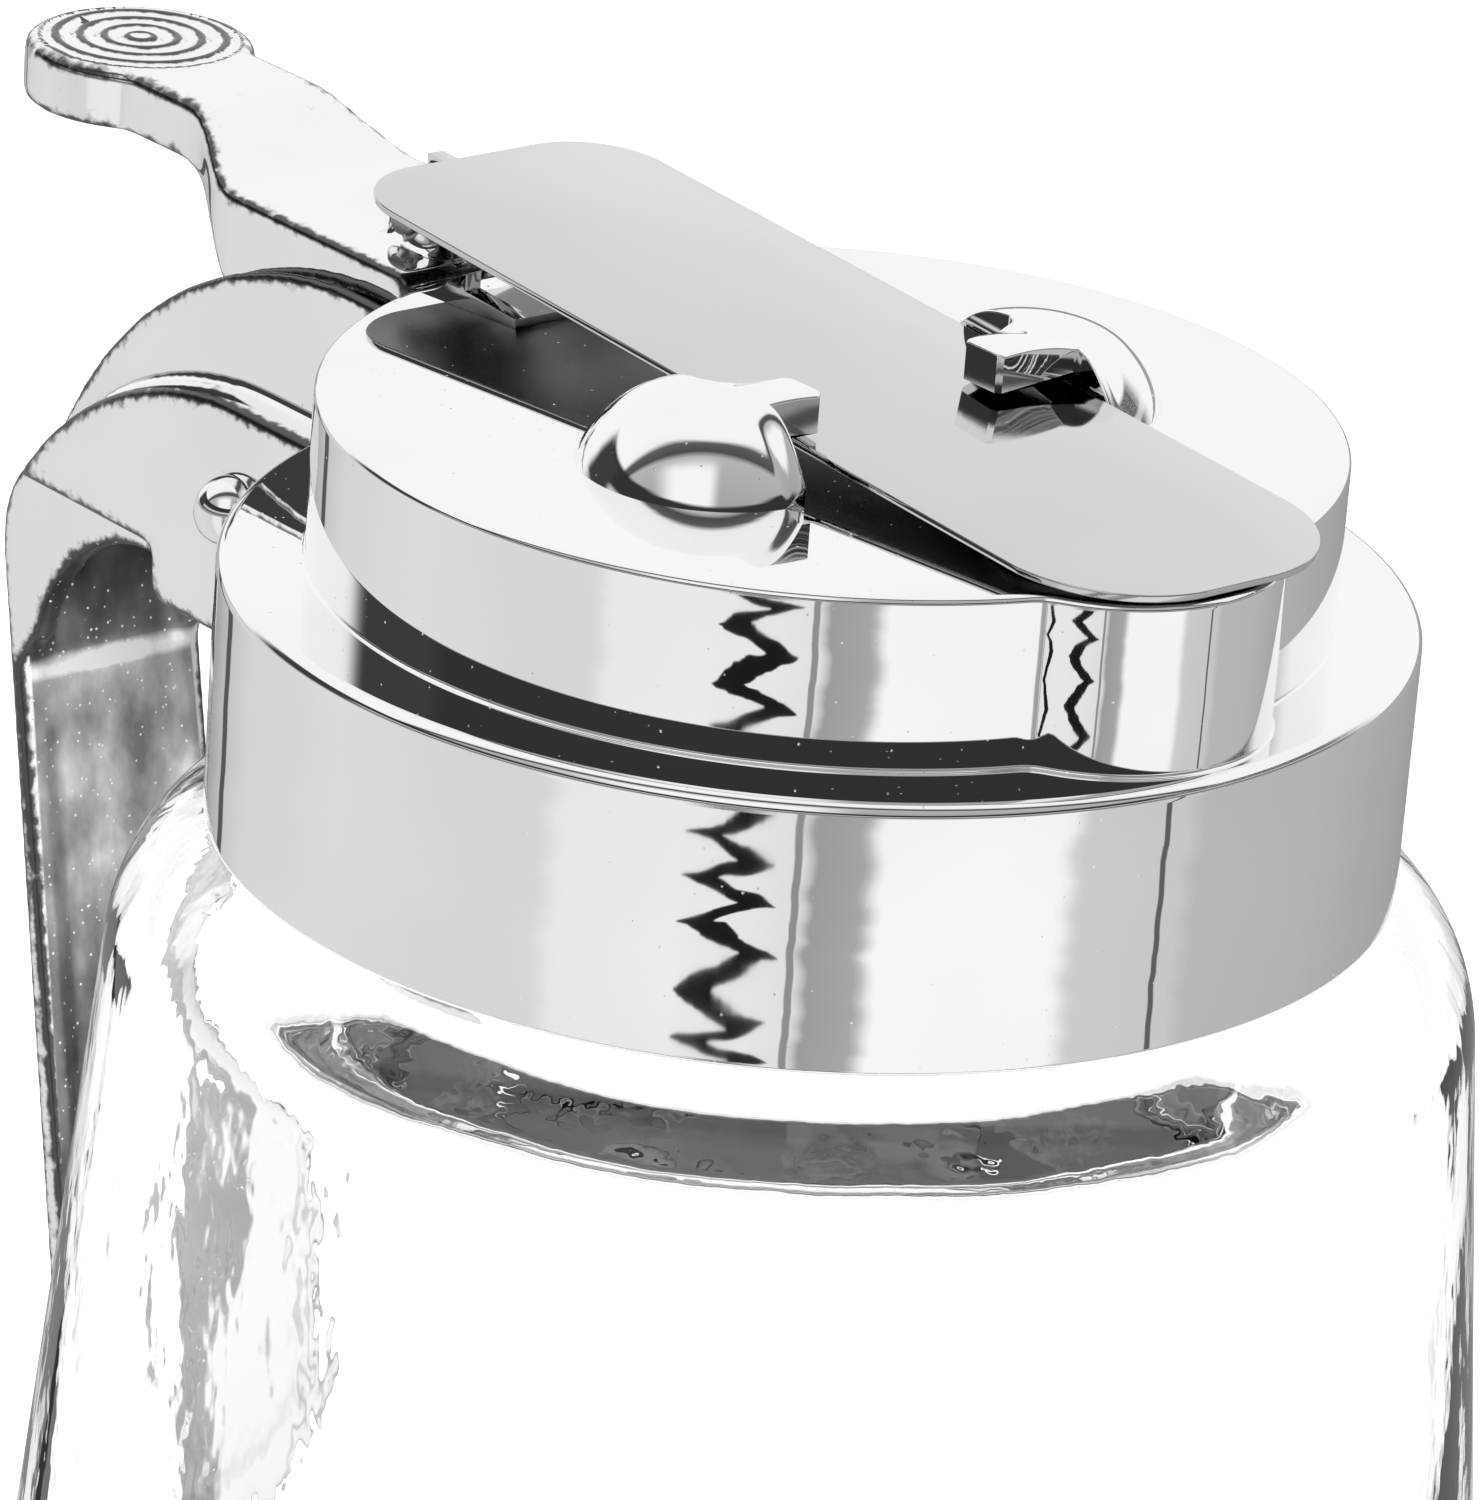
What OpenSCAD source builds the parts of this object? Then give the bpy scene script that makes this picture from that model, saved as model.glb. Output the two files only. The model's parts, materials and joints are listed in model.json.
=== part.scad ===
// Table-top syrup dispenser: glass jar, screw-on cap with a sliding shutter blade, thumb lever.
// Millimetres. The origin is the centre of the jar's foot, +Z is up, +X is the pouring side.

/* [Jar] */
// Height of the jar from its foot to the rim of its mouth
jar_h = 115.6; // [105:0.2:130]
// Thickness of the glass wall
glass_wall = 3.6; // [3:0.1:4.5]
// Thickness of the glass in the foot
glass_foot = 7; // [5:0.5:10]
// Radius of the rounded heel above the foot
heel_r = 7; // [5:0.5:9]
// Angle at which the body widens downwards
jar_flare = 5.5; // [3:0.1:6]
// Radius of the rounded shoulder
shoulder_r = 9.5; // [8:0.1:10]
// Thickness of the glass in the neck
neck_wall = 3.8; // [3:0.1:4.5]

/* [Thread] */
// Rise of the thread in one turn
thread_pitch = 4; // [3.6:0.1:4.4]
// Height of the glass thread above the neck
thread_h = 1.2; // [0.9:0.1:1.3]
// Turns of thread on the glass
glass_turns = 1; // [0.75:0.25:1]
// Turns of thread in the liner
liner_turns = 0.75; // [0.5:0.25:0.75]
// Thickness of the liner's wall
liner_wall = 1.7; // [1.5:0.1:2]

/* [Cap] */
// Outer radius of the collar, the wide lower ring of the cap
collar_r = 35.15; // [35:0.05:36]
// Height of the collar
collar_h = 16.1; // [15.6:0.1:16.3]
// Thickness of the collar's wall
collar_wall = 1.5; // [1.3:0.1:1.6]
// Radius of the turret, the narrower drum on top of the collar
turret_r = 30; // [29:0.1:30.5]
// Height of the turret above the collar
turret_h = 10.2; // [9.5:0.1:12]
// Thickness of the turret's wall and top
turret_wall = 2; // [1.5:0.1:2.5]
// Radius of the nose that bulges from the turret
nose_r = 10; // [9:0.1:11]
// Distance of the nose's centre from the cap's axis
nose_x = 24; // [22:0.1:24.5]
// Radius of the hollow fillet between the nose and the turret
nose_fillet = 2.5; // [1:0.1:4]
// Radius of the pour hole
pour_r = 5.8; // [4:0.1:6.2]
// Thickness of the sealing ring on the jar's mouth
gasket_t = 1.2; // [0.8:0.1:2]

/* [Blade] */
// Width of the shutter blade
blade_w = 20.6; // [18:0.1:20.8]
// Thickness of the blade
blade_t = 0.5; // [0.4:0.05:0.6]
// Distance of the blade's front tip from the cap's axis
blade_front = 33.8; // [33:0.1:34]
// Distance of the blade's rear end from the cap's axis
blade_rear = 35.8; // [34.5:0.1:37]
// Angle at which the blade rises to the rear
blade_tilt = 3.4; // [3:0.1:3.6]
// Height of the blade's underside above the turret at the cap's axis
blade_lift = 2.2; // [2.1:0.05:2.4]
// Sideways set of the blade in its play between the guides
blade_shift = 1; // [0:0.1:1]

/* [Guides] */
// Radius of a guide dome where it meets the turret
dome_r = 7.4; // [7:0.1:8]
// Height of a guide dome
dome_h = 5.1; // [5:0.1:6]
// Reach of the near guide's finger from its dome's face
near_reach = 3.6; // [3:0.1:5]
// Reach of the far guide's finger from its dome's face
far_reach = 6.4; // [5:0.1:7]

/* [Lever] */
// Distance of the hinge pin from the collar's wall
hinge_out = 6.35; // [6.3:0.05:6.5]
// Depth of the hinge pin below the turret's top
hinge_drop = 17.8; // [17.6:0.1:18]
// Radius of the lever's hub on the hinge pin
hub_r = 4.2; // [4:0.1:4.2]
// Distance of the drive pin from the hinge pin
drive_r = 20; // [19.8:0.1:20.2]
// Distance of the thumb pad's centre behind the hinge pin
pad_reach = 27.2; // [26.5:0.1:28]
// Width of the lever's arm
arm_w = 15; // [14:0.1:15.2]
// Thickness of the arm's top plate
arm_t = 3.4; // [2.8:0.1:3.6]
// Width of the neck between the arm and the thumb pad
neck_w = 10; // [9:0.1:12]
// Radius of the thumb pad
pad_r = 7.3; // [6.5:0.1:8]
// Height of the thumb pad's face above the turret
pad_lift = 3; // [2:0.1:4]
// Thickness of the thumb pad
pad_t = 4; // [3.5:0.1:4.4]
// Number of raised rings on the thumb pad
pad_rings = 4; // [2:1:5]
// Angle through which the lever swings
swing = 32; // [24:1:32]

/* [Handle] */
// Radius of the cheeks' rounded top
cheek_arc_r = 28.3; // [28:0.1:28.6]
// Depth of the cheeks' top below the turret's top
cheek_drop = 11.2; // [11:0.1:11.5]
// Radius of the hood's rounded top
hood_arc_r = 33; // [32.8:0.1:33.2]
// Depth of the hood's top below the turret's top
hood_drop = 2; // [1.9:0.1:2.4]
// Depth of the crease along the cheeks below the turret's top
crease_drop = 23; // [22.8:0.1:23.3]
// Radius of the grip's rounded top
grip_top_r = 7.2; // [7:0.1:7.5]
// Radius of the arch under the head
arch_r = 12; // [11.5:0.1:12.5]
// Depth of the arch's top below the turret's top
arch_drop = 26.2; // [26:0.1:26.6]
// Width of the handle's head across its cheeks
head_w = 23; // [22.5:0.1:26]
// Width of the hood between the cheeks
hood_w = 18; // [17.6:0.1:19]
// Width of the grip
grip_w = 14.6; // [13:0.1:16]
// Angle at which the grip leans towards the jar
grip_tilt = 10; // [8:0.5:11]
// Depth of the grip's channel section
grip_depth = 2.6; // [2.2:0.1:4]
// Thickness of the grip's back wall
grip_back = 1.2; // [1:0.1:1.6]
// Height of the grip's free end above the table
grip_end_z = 33; // [25:1:50]
// Radius of the hinge pin
pin_r = 1.5; // [1.2:0.1:1.7]

/* [Spring] */
// Radius of the spring's wire
wire_r = 0.5; // [0.4:0.05:0.5]
// Pitch of the spring's coils
spring_pitch = 1.5; // [1.45:0.05:1.6]
// Whole curls in the spring, before the last three quarters of a curl
spring_curls = 4; // [3:1:5]

/* [Hidden] */
$fn = 96;
eps = 0.05;

// Clearances
fit_gap = 0.06;
seat_gap = 0.05;
slide_gap = 0.3;
thread_gap = 0.45;
flank_gap = 0.15;

// Heights of the stacked pieces, from the jar's foot
liner_flange = 1.4;
ledge_t = 1.6;
gasket_z = jar_h;
flange_z = gasket_z + gasket_t;
ledge_under_z = flange_z + liner_flange;
ledge_z = ledge_under_z + ledge_t;
top_z = ledge_z + turret_h;
collar_low_z = ledge_z - collar_h;

// Radii of the cap
rim_round = 0.8;
edge_bevel = 0.5;
collar_in_r = collar_r - collar_wall;
turret_in_r = turret_r - turret_wall;
nose_in_r = nose_r - turret_wall;

// Radii of the liner's wall and of the neck that the thread grips
liner_in_r = collar_in_r - liner_wall;
glass_crest_r = liner_in_r - thread_gap;
neck_r = glass_crest_r - thread_h;

// Glass: the shoulder's arc, the straight flare and the heel
shoulder_gap = 0.1;
shoulder_inset = 1;
mouth_round = 1;
bore_round = 2;
shoulder_top_z = collar_low_z - shoulder_gap;
shoulder_cx = neck_r + shoulder_inset;
shoulder_cz = shoulder_top_z - shoulder_r;
neck_bore_r = neck_r - neck_wall;
flare_x = shoulder_cx + shoulder_r * cos(jar_flare);
flare_z = shoulder_cz + shoulder_r * sin(jar_flare);
heel_z = heel_r * (1 + sin(jar_flare));
heel_x = flare_x + (flare_z - heel_z) * tan(jar_flare);
heel_cx = heel_x - heel_r * cos(jar_flare);
inner_heel_r = heel_r + 1;
inner_heel_z = glass_foot + inner_heel_r * (1 + sin(jar_flare));
inner_off = glass_wall / cos(jar_flare);
inner_heel_x = flare_x + (flare_z - inner_heel_z) * tan(jar_flare) - inner_off;
inner_heel_cx = inner_heel_x - inner_heel_r * cos(jar_flare);
bore_low_z = shoulder_top_z - glass_wall + bore_round;

// Thread: crest, half thicknesses and the heights of its middle line
liner_crest_r = neck_r + thread_gap;
thread_root = 0.9;
thread_crest = 0.4;
thread_bury = 0.3;
thread_start = 1.9;
glass_thread_z = gasket_z - thread_start - glass_turns * thread_pitch;
liner_thread_z = glass_thread_z - thread_root - thread_crest - flank_gap;
liner_low_z = liner_thread_z - thread_root;
thread_step = 10;

// Blade plane: its underside height at x, above the jar's foot
function under(x) = top_z + blade_lift - x * tan(blade_tilt);

// Lip of the pour hole
lip_w = 1.2;
lip_r = pour_r + lip_w;
lip_flange_t = 0.8;
seat_drop = 0.12;

// Guides
dome_x = 3.5;
guide_face = blade_shift + blade_w / 2 + slide_gap;
dome_y = guide_face + 0.4;
dome_ball_r = (dome_r * dome_r + dome_h * dome_h) / (2 * dome_h);
dome_shell = 1.2;
finger_x = [5.0, 8.1];
finger_root_x = [1.5, 9.8];
finger_low = blade_lift - finger_x[0] * tan(blade_tilt) + blade_t + slide_gap;
guide_screw_r = 0.9;
guide_screw_x = 2.2;
guide_screw_y = dome_y + 1.6;
guide_screw_head_r = 2;
guide_screw_head_t = 1.3;
guide_screw_in = 3;
guide_peg_r = 1.1;
guide_peg_y = dome_y + 3.4;
guide_peg_x = 6.2;

// Hinge and drive
hinge_x = -collar_r - hinge_out;
hinge_z = top_z - hinge_drop;
drive_lead = swing / 2;
drive_x = hinge_x + drive_r * sin(drive_lead);
drive_z = hinge_z + drive_r * cos(drive_lead);
drive_travel = 2 * drive_r * sin(drive_lead) / cos(blade_tilt);
drive_ratio = drive_travel / (swing * PI / 180);
drive_pin_r = 0.9;
drive_gap = 0.12;
tab_t = 1.2;
tab_half = 2.2;
tab_low_rel = -drive_travel * sin(blade_tilt);
tab_high_rel = drive_r * (1 - cos(drive_lead)) - drive_travel * sin(blade_tilt) / 2;
tab_weld_t = 0.6;
tab_foot = [1.2, 7.2];
tab_foot_w = 6.6;
tab_floor = 1;
tab_corner = 1.2;
ear_w = 7.8;
ear_r = 2;
ear_gap = tab_t / 2 + 0.4;
echo(drive_ratio_mm_per_rad = drive_ratio, drive_travel_mm = drive_travel);

// Lever
arm_drop = 0.2;
arm_top_z = top_z - arm_drop;
arm_front_x = -(turret_r + 1);
arm_back = 6.5;
arm_rear_x = hinge_x - arm_back;
cheek_w = 2.2;
arm_bevel = 0.5;
pad_x = hinge_x - pad_reach;
neck_run = 8.5;
neck_start_x = arm_rear_x - 0.5;
neck_end_x = neck_start_x - neck_run;
neck_root = 2.6;
ring_w = 0.5;
ring_h = 0.25;

// Handle head: the cheeks' arc, the hood's arc and the lever's pocket
cheek_arc_z = top_z - cheek_drop - cheek_arc_r;
crease_z = top_z - crease_drop;
head_back_x = hinge_x - sqrt(pow(cheek_arc_r, 2) - pow(crease_z - cheek_arc_z, 2));
head_low_z = collar_low_z - 0.2;
head_step = 8.5;
head_step_x = hinge_x - head_step;
head_corner_r = 1.3;
hood_lead = 7.5;
hood_arc_x = hinge_x + hood_lead;
hood_arc_z = top_z - hood_drop - hood_arc_r;
pocket_side = 0.4;
pocket_w = arm_w + 2 * pocket_side;
pocket_front_x = hinge_x + hub_r + 0.7;
pocket_floor_z = hinge_z - hub_r - pocket_side;
pocket_drop = 12.5;
pocket_step_z = top_z - pocket_drop;
pocket_back = [hub_r + 0.6, 3 * hub_r + 0.3, hood_arc_r - hood_lead - 5.5];
bridge_h = 1.2;
bridge_z = ledge_z + bridge_h;

// Grip: the rounded top, the straight back and the arch under the head
grip_rise = 0.4;
grip_cx = head_back_x + 0.1;
grip_top_z = crease_z + grip_rise;
grip_cz = grip_top_z - grip_top_r;
arch_z = top_z - arch_drop - arch_r;
grip_out = [-cos(grip_tilt), -sin(grip_tilt)];
grip_down = [sin(grip_tilt), -cos(grip_tilt)];
grip_start = [grip_cx, grip_cz] + grip_top_r * grip_out;
grip_run = (grip_start[1] - grip_end_z) / cos(grip_tilt);
arch_base = grip_start - (grip_depth + arch_r) * grip_out;
arch_c = arch_base + (arch_base[1] - arch_z) / cos(grip_tilt) * grip_down;
grip_rib = 1.9;

// Pins and screws
pin_head_r = 2.25;
pin_head_out = 2.5;
cap_r = 2.8;
bush_r = 2.4;
handle_screw_r = 1.25;
handle_screw_y = 5;
handle_screw_z = (collar_low_z + liner_low_z) / 2;
handle_screw_head_r = 1.5;
handle_screw_head_t = 1.1;
screw_slot_w = 0.5;
screw_slot_d = 0.5;
pin_tail = 1.2;
pin_cap_out = 2.4;

// Spring
coil_r = bush_r + wire_r + 0.2;
spring_turns = spring_curls + 0.75;
spring_half = spring_turns * spring_pitch / 2;
spring_steps = 8;
spring_sides = 6;
leg_top = arm_top_z - arm_t - hinge_z - wire_r - seat_gap;

// Distance of the pocket's rear wall behind the hinge, at height z above it
function pocket_wall(z) = pocket_back[0] + (pocket_back[1] - pocket_back[0])
    * (z + hinge_z - pocket_floor_z) / (pocket_step_z - pocket_floor_z);
leg_back = pocket_wall(coil_r - wire_r) - 0.4;

// Points of an arc from angle a0 to a1
function arc(cx, cy, r, a0, a1, n = 12) =
    [for (i = [0:n]) [cx + r * cos(a0 + (a1 - a0) * i / n), cy + r * sin(a0 + (a1 - a0) * i / n)]];

function unit(v) = v / norm(v);

// Smooth step from 0 to 1
function ease(t) = (1 - cos(180 * t)) / 2;

// A profile in X and Z, extruded along Y from y0 to y1
module along_y(y0, y1) {
    translate([0, y1, 0]) rotate([90, 0, 0]) linear_extrude(y1 - y0) children();
}

// A rod along Y
module rod_y(x, z, r, y0, y1) {
    translate([x, y0, z]) rotate([-90, 0, 0]) cylinder(r = r, h = y1 - y0);
}

// A rod along X
module rod_x(y, z, r, x0, x1) {
    translate([x0, y, z]) rotate([0, 90, 0]) cylinder(r = r, h = x1 - x0);
}

// Closed tube whose rings are lists of points, with a flat cap at each end
module swept(rings) {
    n = len(rings[0]);
    m = len(rings);
    sides = [for (i = [0:m - 2]) for (j = [0:n - 1]) for (k = [0, 1])
        k == 0 ? [i * n + j, i * n + (j + 1) % n, (i + 1) * n + j]
               : [i * n + (j + 1) % n, (i + 1) * n + (j + 1) % n, (i + 1) * n + j]];
    caps = concat(
        [for (j = [1:n - 2]) [0, j + 1, j]],
        [for (j = [1:n - 2]) [(m - 1) * n, (m - 1) * n + j, (m - 1) * n + j + 1]]);
    polyhedron(points = [for (ring = rings) for (p = ring) p], faces = concat(sides, caps));
}

// Helical ridge: root_r is the buried radius, crest_r the free one
module thread_ridge(root_r, crest_r, z0, turns) {
    steps = ceil(turns * 360 / thread_step);
    section = root_r < crest_r
        ? [[root_r, -thread_root], [crest_r, -thread_crest], [crest_r, thread_crest], [root_r, thread_root]]
        : [[root_r, -thread_root], [root_r, thread_root], [crest_r, thread_crest], [crest_r, -thread_crest]];
    swept([for (i = [0:steps])
        let (a = turns * 360 * i / steps)
        [for (p = section) [p[0] * cos(a), p[0] * sin(a), z0 + p[1] + turns * thread_pitch * i / steps]]]);
}

module glass_jar() {
    outer = concat(
        [[0, 0]],
        arc(heel_cx, heel_r, heel_r, -90, jar_flare),
        arc(shoulder_cx, shoulder_cz, shoulder_r, jar_flare, 90, 16),
        [[neck_r, shoulder_top_z + shoulder_inset], [neck_r, jar_h - mouth_round]],
        arc(neck_r - mouth_round, jar_h - mouth_round, mouth_round, 0, 90, 4));
    inner = concat(
        arc(neck_bore_r + mouth_round, jar_h - mouth_round, mouth_round, 90, 180, 4),
        arc(neck_bore_r + bore_round, bore_low_z, bore_round, 180, 250, 5),
        arc(shoulder_cx, shoulder_cz, shoulder_r - glass_wall, 90, jar_flare, 12),
        arc(inner_heel_cx, glass_foot + inner_heel_r, inner_heel_r, jar_flare, -90),
        [[0, glass_foot]]);
    color("white") {
        rotate_extrude() polygon(concat(outer, inner));
        thread_ridge(neck_r - thread_bury, glass_crest_r, glass_thread_z, glass_turns);
    }
}

module jar_gasket() {
    color("gainsboro") translate([0, 0, gasket_z]) difference() {
        cylinder(r = liner_in_r - 0.2, h = gasket_t);
        translate([0, 0, -eps]) cylinder(r = neck_bore_r + 0.2, h = gasket_t + 2 * eps);
    }
}

// Plan of the nose and its two fillets, beside the turret
module nose_plan(r) {
    reach = turret_r + nose_fillet;
    near = nose_r + nose_fillet;
    fx = (reach * reach - near * near + nose_x * nose_x) / (2 * nose_x);
    fy = sqrt(reach * reach - fx * fx);
    translate([nose_x, 0]) circle(r);
    for (s = [-1, 1]) difference() {
        polygon([[fx, s * fy] * turret_r / reach,
            [fx, s * fy],
            [nose_x, 0] + ([fx, s * fy] - [nose_x, 0]) * nose_r / near,
            [nose_x, s * fy / 2]]);
        translate([fx, s * fy]) circle(nose_fillet);
    }
}

module cap_shell() {
    bevel_z = top_z - edge_bevel;
    color("silver") difference() {
        union() {
            rotate_extrude() polygon(concat(
                [[0, ledge_under_z], [collar_in_r, ledge_under_z], [collar_in_r, collar_low_z]],
                [[collar_r - 0.3, collar_low_z], [collar_r, collar_low_z + 0.3]],
                arc(collar_r - rim_round, ledge_z - rim_round, rim_round, 0, 90, 6),
                [[turret_r, ledge_z], [turret_r, bevel_z], [turret_r - edge_bevel, top_z], [0, top_z]]));
            translate([0, 0, ledge_z]) linear_extrude(turret_h - edge_bevel) nose_plan(nose_r);
            translate([nose_x, 0, bevel_z - eps]) cylinder(r = nose_r - eps, h = eps);
            translate([nose_x, 0, bevel_z])
                cylinder(r1 = nose_r, r2 = nose_r - edge_bevel, h = edge_bevel);
        }
        translate([0, 0, ledge_under_z - eps])
            cylinder(r = turret_in_r, h = top_z - turret_wall - ledge_under_z + eps);
        translate([nose_x, 0, ledge_z])
            cylinder(r = nose_in_r, h = turret_h - turret_wall);
        translate([nose_x, 0, ledge_z]) cylinder(r = lip_r + seat_gap, h = turret_h + 1);
        for (s = [-1, 1]) {
            translate([guide_screw_x, s * guide_screw_y, top_z - turret_wall - 1])
                cylinder(r = guide_screw_r + 0.1, h = turret_wall + 2);
            translate([guide_peg_x, s * guide_peg_y, top_z - turret_wall - 1])
                cylinder(r = guide_peg_r + seat_gap, h = turret_wall + 2);
            rod_x(s * handle_screw_y, handle_screw_z, handle_screw_r + seat_gap,
                -collar_r - 1, -collar_in_r + 3);
        }
    }
}

module threaded_liner() {
    color("whitesmoke") {
        difference() {
            translate([0, 0, liner_low_z])
                cylinder(r = collar_in_r - seat_gap, h = ledge_under_z - liner_low_z);
            translate([0, 0, liner_low_z - eps]) cylinder(r = liner_in_r, h = flange_z - liner_low_z + eps);
            translate([0, 0, flange_z - eps]) cylinder(r = neck_bore_r, h = liner_flange + 2 * eps);
        }
        thread_ridge(liner_in_r + thread_bury, liner_crest_r, liner_thread_z, liner_turns);
    }
}

// Lip of the pour hole, cut parallel to the blade that closes it
module pour_seat() {
    low_z = top_z - turret_wall;
    flange_low_z = low_z - lip_flange_t;
    color("lightgray") difference() {
        union() {
            translate([nose_x, 0, flange_low_z]) cylinder(r = lip_r, h = top_z + blade_lift - flange_low_z);
            translate([nose_x, 0, flange_low_z])
                cylinder(r = nose_in_r - 2 * seat_gap, h = lip_flange_t - seat_gap);
        }
        translate([nose_x, 0, flange_low_z - 1]) cylinder(r = pour_r, h = turret_h);
        translate([0, 0, top_z + blade_lift - seat_drop]) rotate([0, blade_tilt, 0])
            translate([0, -nose_r, 0]) cube([2 * turret_r, 2 * nose_r, turret_h]);
    }
}

// One guide: a domed boss, hollow in front, whose finger reaches over the blade's edge
module blade_guide(reach) {
    color("silver") difference() {
        union() {
            intersection() {
                translate([dome_x, dome_y, top_z + dome_h - dome_ball_r]) sphere(dome_ball_r);
                translate([dome_x - dome_r - 1, guide_face, top_z])
                    cube([2 * dome_r + 2, dome_r + 2, dome_h + 1]);
            }
            translate([0, 0, top_z + finger_low]) linear_extrude(dome_h - finger_low)
                polygon([[finger_root_x[0], guide_face + 1], [finger_root_x[0] + 1, guide_face],
                    [finger_x[0], guide_face - reach], [finger_x[1], guide_face - reach],
                    [finger_root_x[1] - 0.7, guide_face - 1], [finger_root_x[1], guide_face + 1]]);
            translate([guide_peg_x, guide_peg_y, top_z - turret_wall])
                cylinder(r = guide_peg_r, h = turret_wall + 1);
        }
        intersection() {
            translate([dome_x, dome_y, top_z + dome_h - dome_ball_r]) sphere(dome_ball_r - dome_shell);
            translate([finger_x[0] + 1.5, guide_face - 1, top_z - eps])
                cube([dome_r, guide_peg_y - guide_face - guide_peg_r, finger_low + eps]);
        }
        translate([guide_screw_x, guide_screw_y, top_z - eps])
            cylinder(r = guide_screw_r + 0.02, h = guide_screw_in + slide_gap);
    }
}

module blade_guide_near() {
    mirror([0, 1, 0]) blade_guide(near_reach);
}

module blade_guide_far() {
    blade_guide(far_reach);
}

module guide_screws() {
    low_z = top_z - turret_wall;
    color("gray") for (s = [-1, 1]) translate([guide_screw_x, s * guide_screw_y, 0]) {
        translate([0, 0, low_z - 0.02]) cylinder(r = guide_screw_r, h = turret_wall + guide_screw_in);
        difference() {
            translate([0, 0, low_z - guide_screw_head_t])
                cylinder(r = guide_screw_head_r, h = guide_screw_head_t);
            translate([-guide_screw_head_r, -screw_slot_w / 2, low_z - guide_screw_head_t - 1])
                cube([2 * guide_screw_head_r, screw_slot_w, screw_slot_d + 1]);
        }
    }
}

// Side view of the cheeks
module cheek_side() {
    intersection() {
        translate([hinge_x, cheek_arc_z]) circle(cheek_arc_r, $fn = 180);
        translate([head_back_x - 1, crease_z]) square([hinge_x - head_back_x + 1, cheek_arc_r]);
    }
    translate([hinge_x - eps, crease_z - eps])
        square([-hinge_x, cheek_arc_z + cheek_arc_r - crease_z + eps]);
    translate([head_step_x, head_low_z + head_corner_r])
        square([-head_step_x, crease_z - head_low_z - head_corner_r + eps]);
    translate([head_step_x + head_corner_r, head_low_z])
        square([-head_step_x - head_corner_r, head_corner_r + eps]);
    translate([head_step_x + head_corner_r, head_low_z + head_corner_r]) circle(head_corner_r);
}

// Side view of the hood
module hood_side() {
    intersection() {
        translate([hood_arc_x, hood_arc_z]) circle(hood_arc_r, $fn = 180);
        translate([head_back_x, crease_z - 0.5]) square([-head_back_x, 60]);
    }
}

// Side view of the grip's outer outline
module grip_side() {
    end = grip_start + grip_run * grip_down;
    difference() {
        union() {
            translate([grip_cx, grip_cz]) circle(grip_top_r, $fn = 120);
            translate([grip_cx, head_low_z])
                square([head_step_x + 0.5 - grip_cx, grip_top_z - head_low_z]);
            polygon([grip_start, end, end - grip_depth * grip_out,
                grip_start - grip_depth * grip_out - [0, 8], [grip_cx, grip_cz]]);
        }
        translate(arch_c) circle(arch_r, $fn = 180);
    }
}

module handle() {
    inner_start = grip_start - grip_back * grip_out;
    inner_end = inner_start + (grip_run + 2) * grip_down;
    color("silver") difference() {
        union() {
            along_y(-head_w / 2, head_w / 2) cheek_side();
            along_y(-hood_w / 2, hood_w / 2) hood_side();
            intersection() {
                along_y(-grip_w / 2, grip_w / 2) grip_side();
                translate([grip_cx - 20, 0, 0]) rotate([90, 0, 90]) linear_extrude(60) {
                    translate([-grip_w / 2, grip_end_z + grip_w / 2]) square([grip_w, top_z]);
                    translate([0, grip_end_z + grip_w / 2]) circle(grip_w / 2);
                }
            }
        }
        // Seat on the collar and the turret
        translate([0, 0, head_low_z - 1])
            cylinder(r = collar_r + seat_gap, h = ledge_z + seat_gap - head_low_z + 1);
        cylinder(r = turret_r + seat_gap, h = top_z + 20);
        // Pocket for the lever
        along_y(-pocket_w / 2, pocket_w / 2) polygon([
            [pocket_front_x, pocket_floor_z], [hinge_x - pocket_back[0], pocket_floor_z],
            [hinge_x - pocket_back[1], pocket_step_z], [hinge_x - pocket_back[2], pocket_step_z],
            [hinge_x - pocket_back[2], top_z + 1], [0, top_z + 1], [0, bridge_z],
            [pocket_front_x, bridge_z]]);
        // Channel of the grip
        along_y(-grip_w / 2 + grip_rib, grip_w / 2 - grip_rib) {
            translate([grip_cx, grip_cz]) circle(grip_top_r - grip_back, $fn = 120);
            polygon([inner_start, inner_end, inner_end - 10 * grip_out,
                inner_start - 10 * grip_out, [grip_cx, grip_cz]]);
        }
        rod_y(hinge_x, hinge_z, pin_r + 0.01, -head_w / 2 - 1, head_w / 2 + 1);
        for (s = [-1, 1])
            rod_x(s * handle_screw_y, handle_screw_z, handle_screw_r + 0.02, hinge_x - 0.2, 0);
    }
}

module handle_screws() {
    face_x = -sqrt(pow(collar_in_r, 2) - pow(handle_screw_y + handle_screw_head_r, 2)) + seat_gap;
    color("gray") for (s = [-1, 1]) {
        rod_x(s * handle_screw_y, handle_screw_z, handle_screw_r, hinge_x, face_x);
        difference() {
            rod_x(s * handle_screw_y, handle_screw_z, handle_screw_head_r,
                face_x - eps, face_x + handle_screw_head_t);
            translate([face_x + handle_screw_head_t - screw_slot_d, s * handle_screw_y - screw_slot_w / 2,
                handle_screw_z - handle_screw_head_r])
                cube([1, screw_slot_w, 2 * handle_screw_head_r]);
        }
    }
}

module hinge_pin() {
    out_y = -head_w / 2;
    color("silver") {
        rod_y(hinge_x, hinge_z, pin_r, out_y - eps, head_w / 2 + pin_tail);
        intersection() {
            translate([hinge_x, out_y - pin_head_out + pin_head_r, hinge_z]) sphere(pin_head_r);
            translate([hinge_x - pin_head_r, out_y - 2 * pin_head_r, hinge_z - pin_head_r])
                cube(2 * pin_head_r);
        }
    }
}

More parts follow.
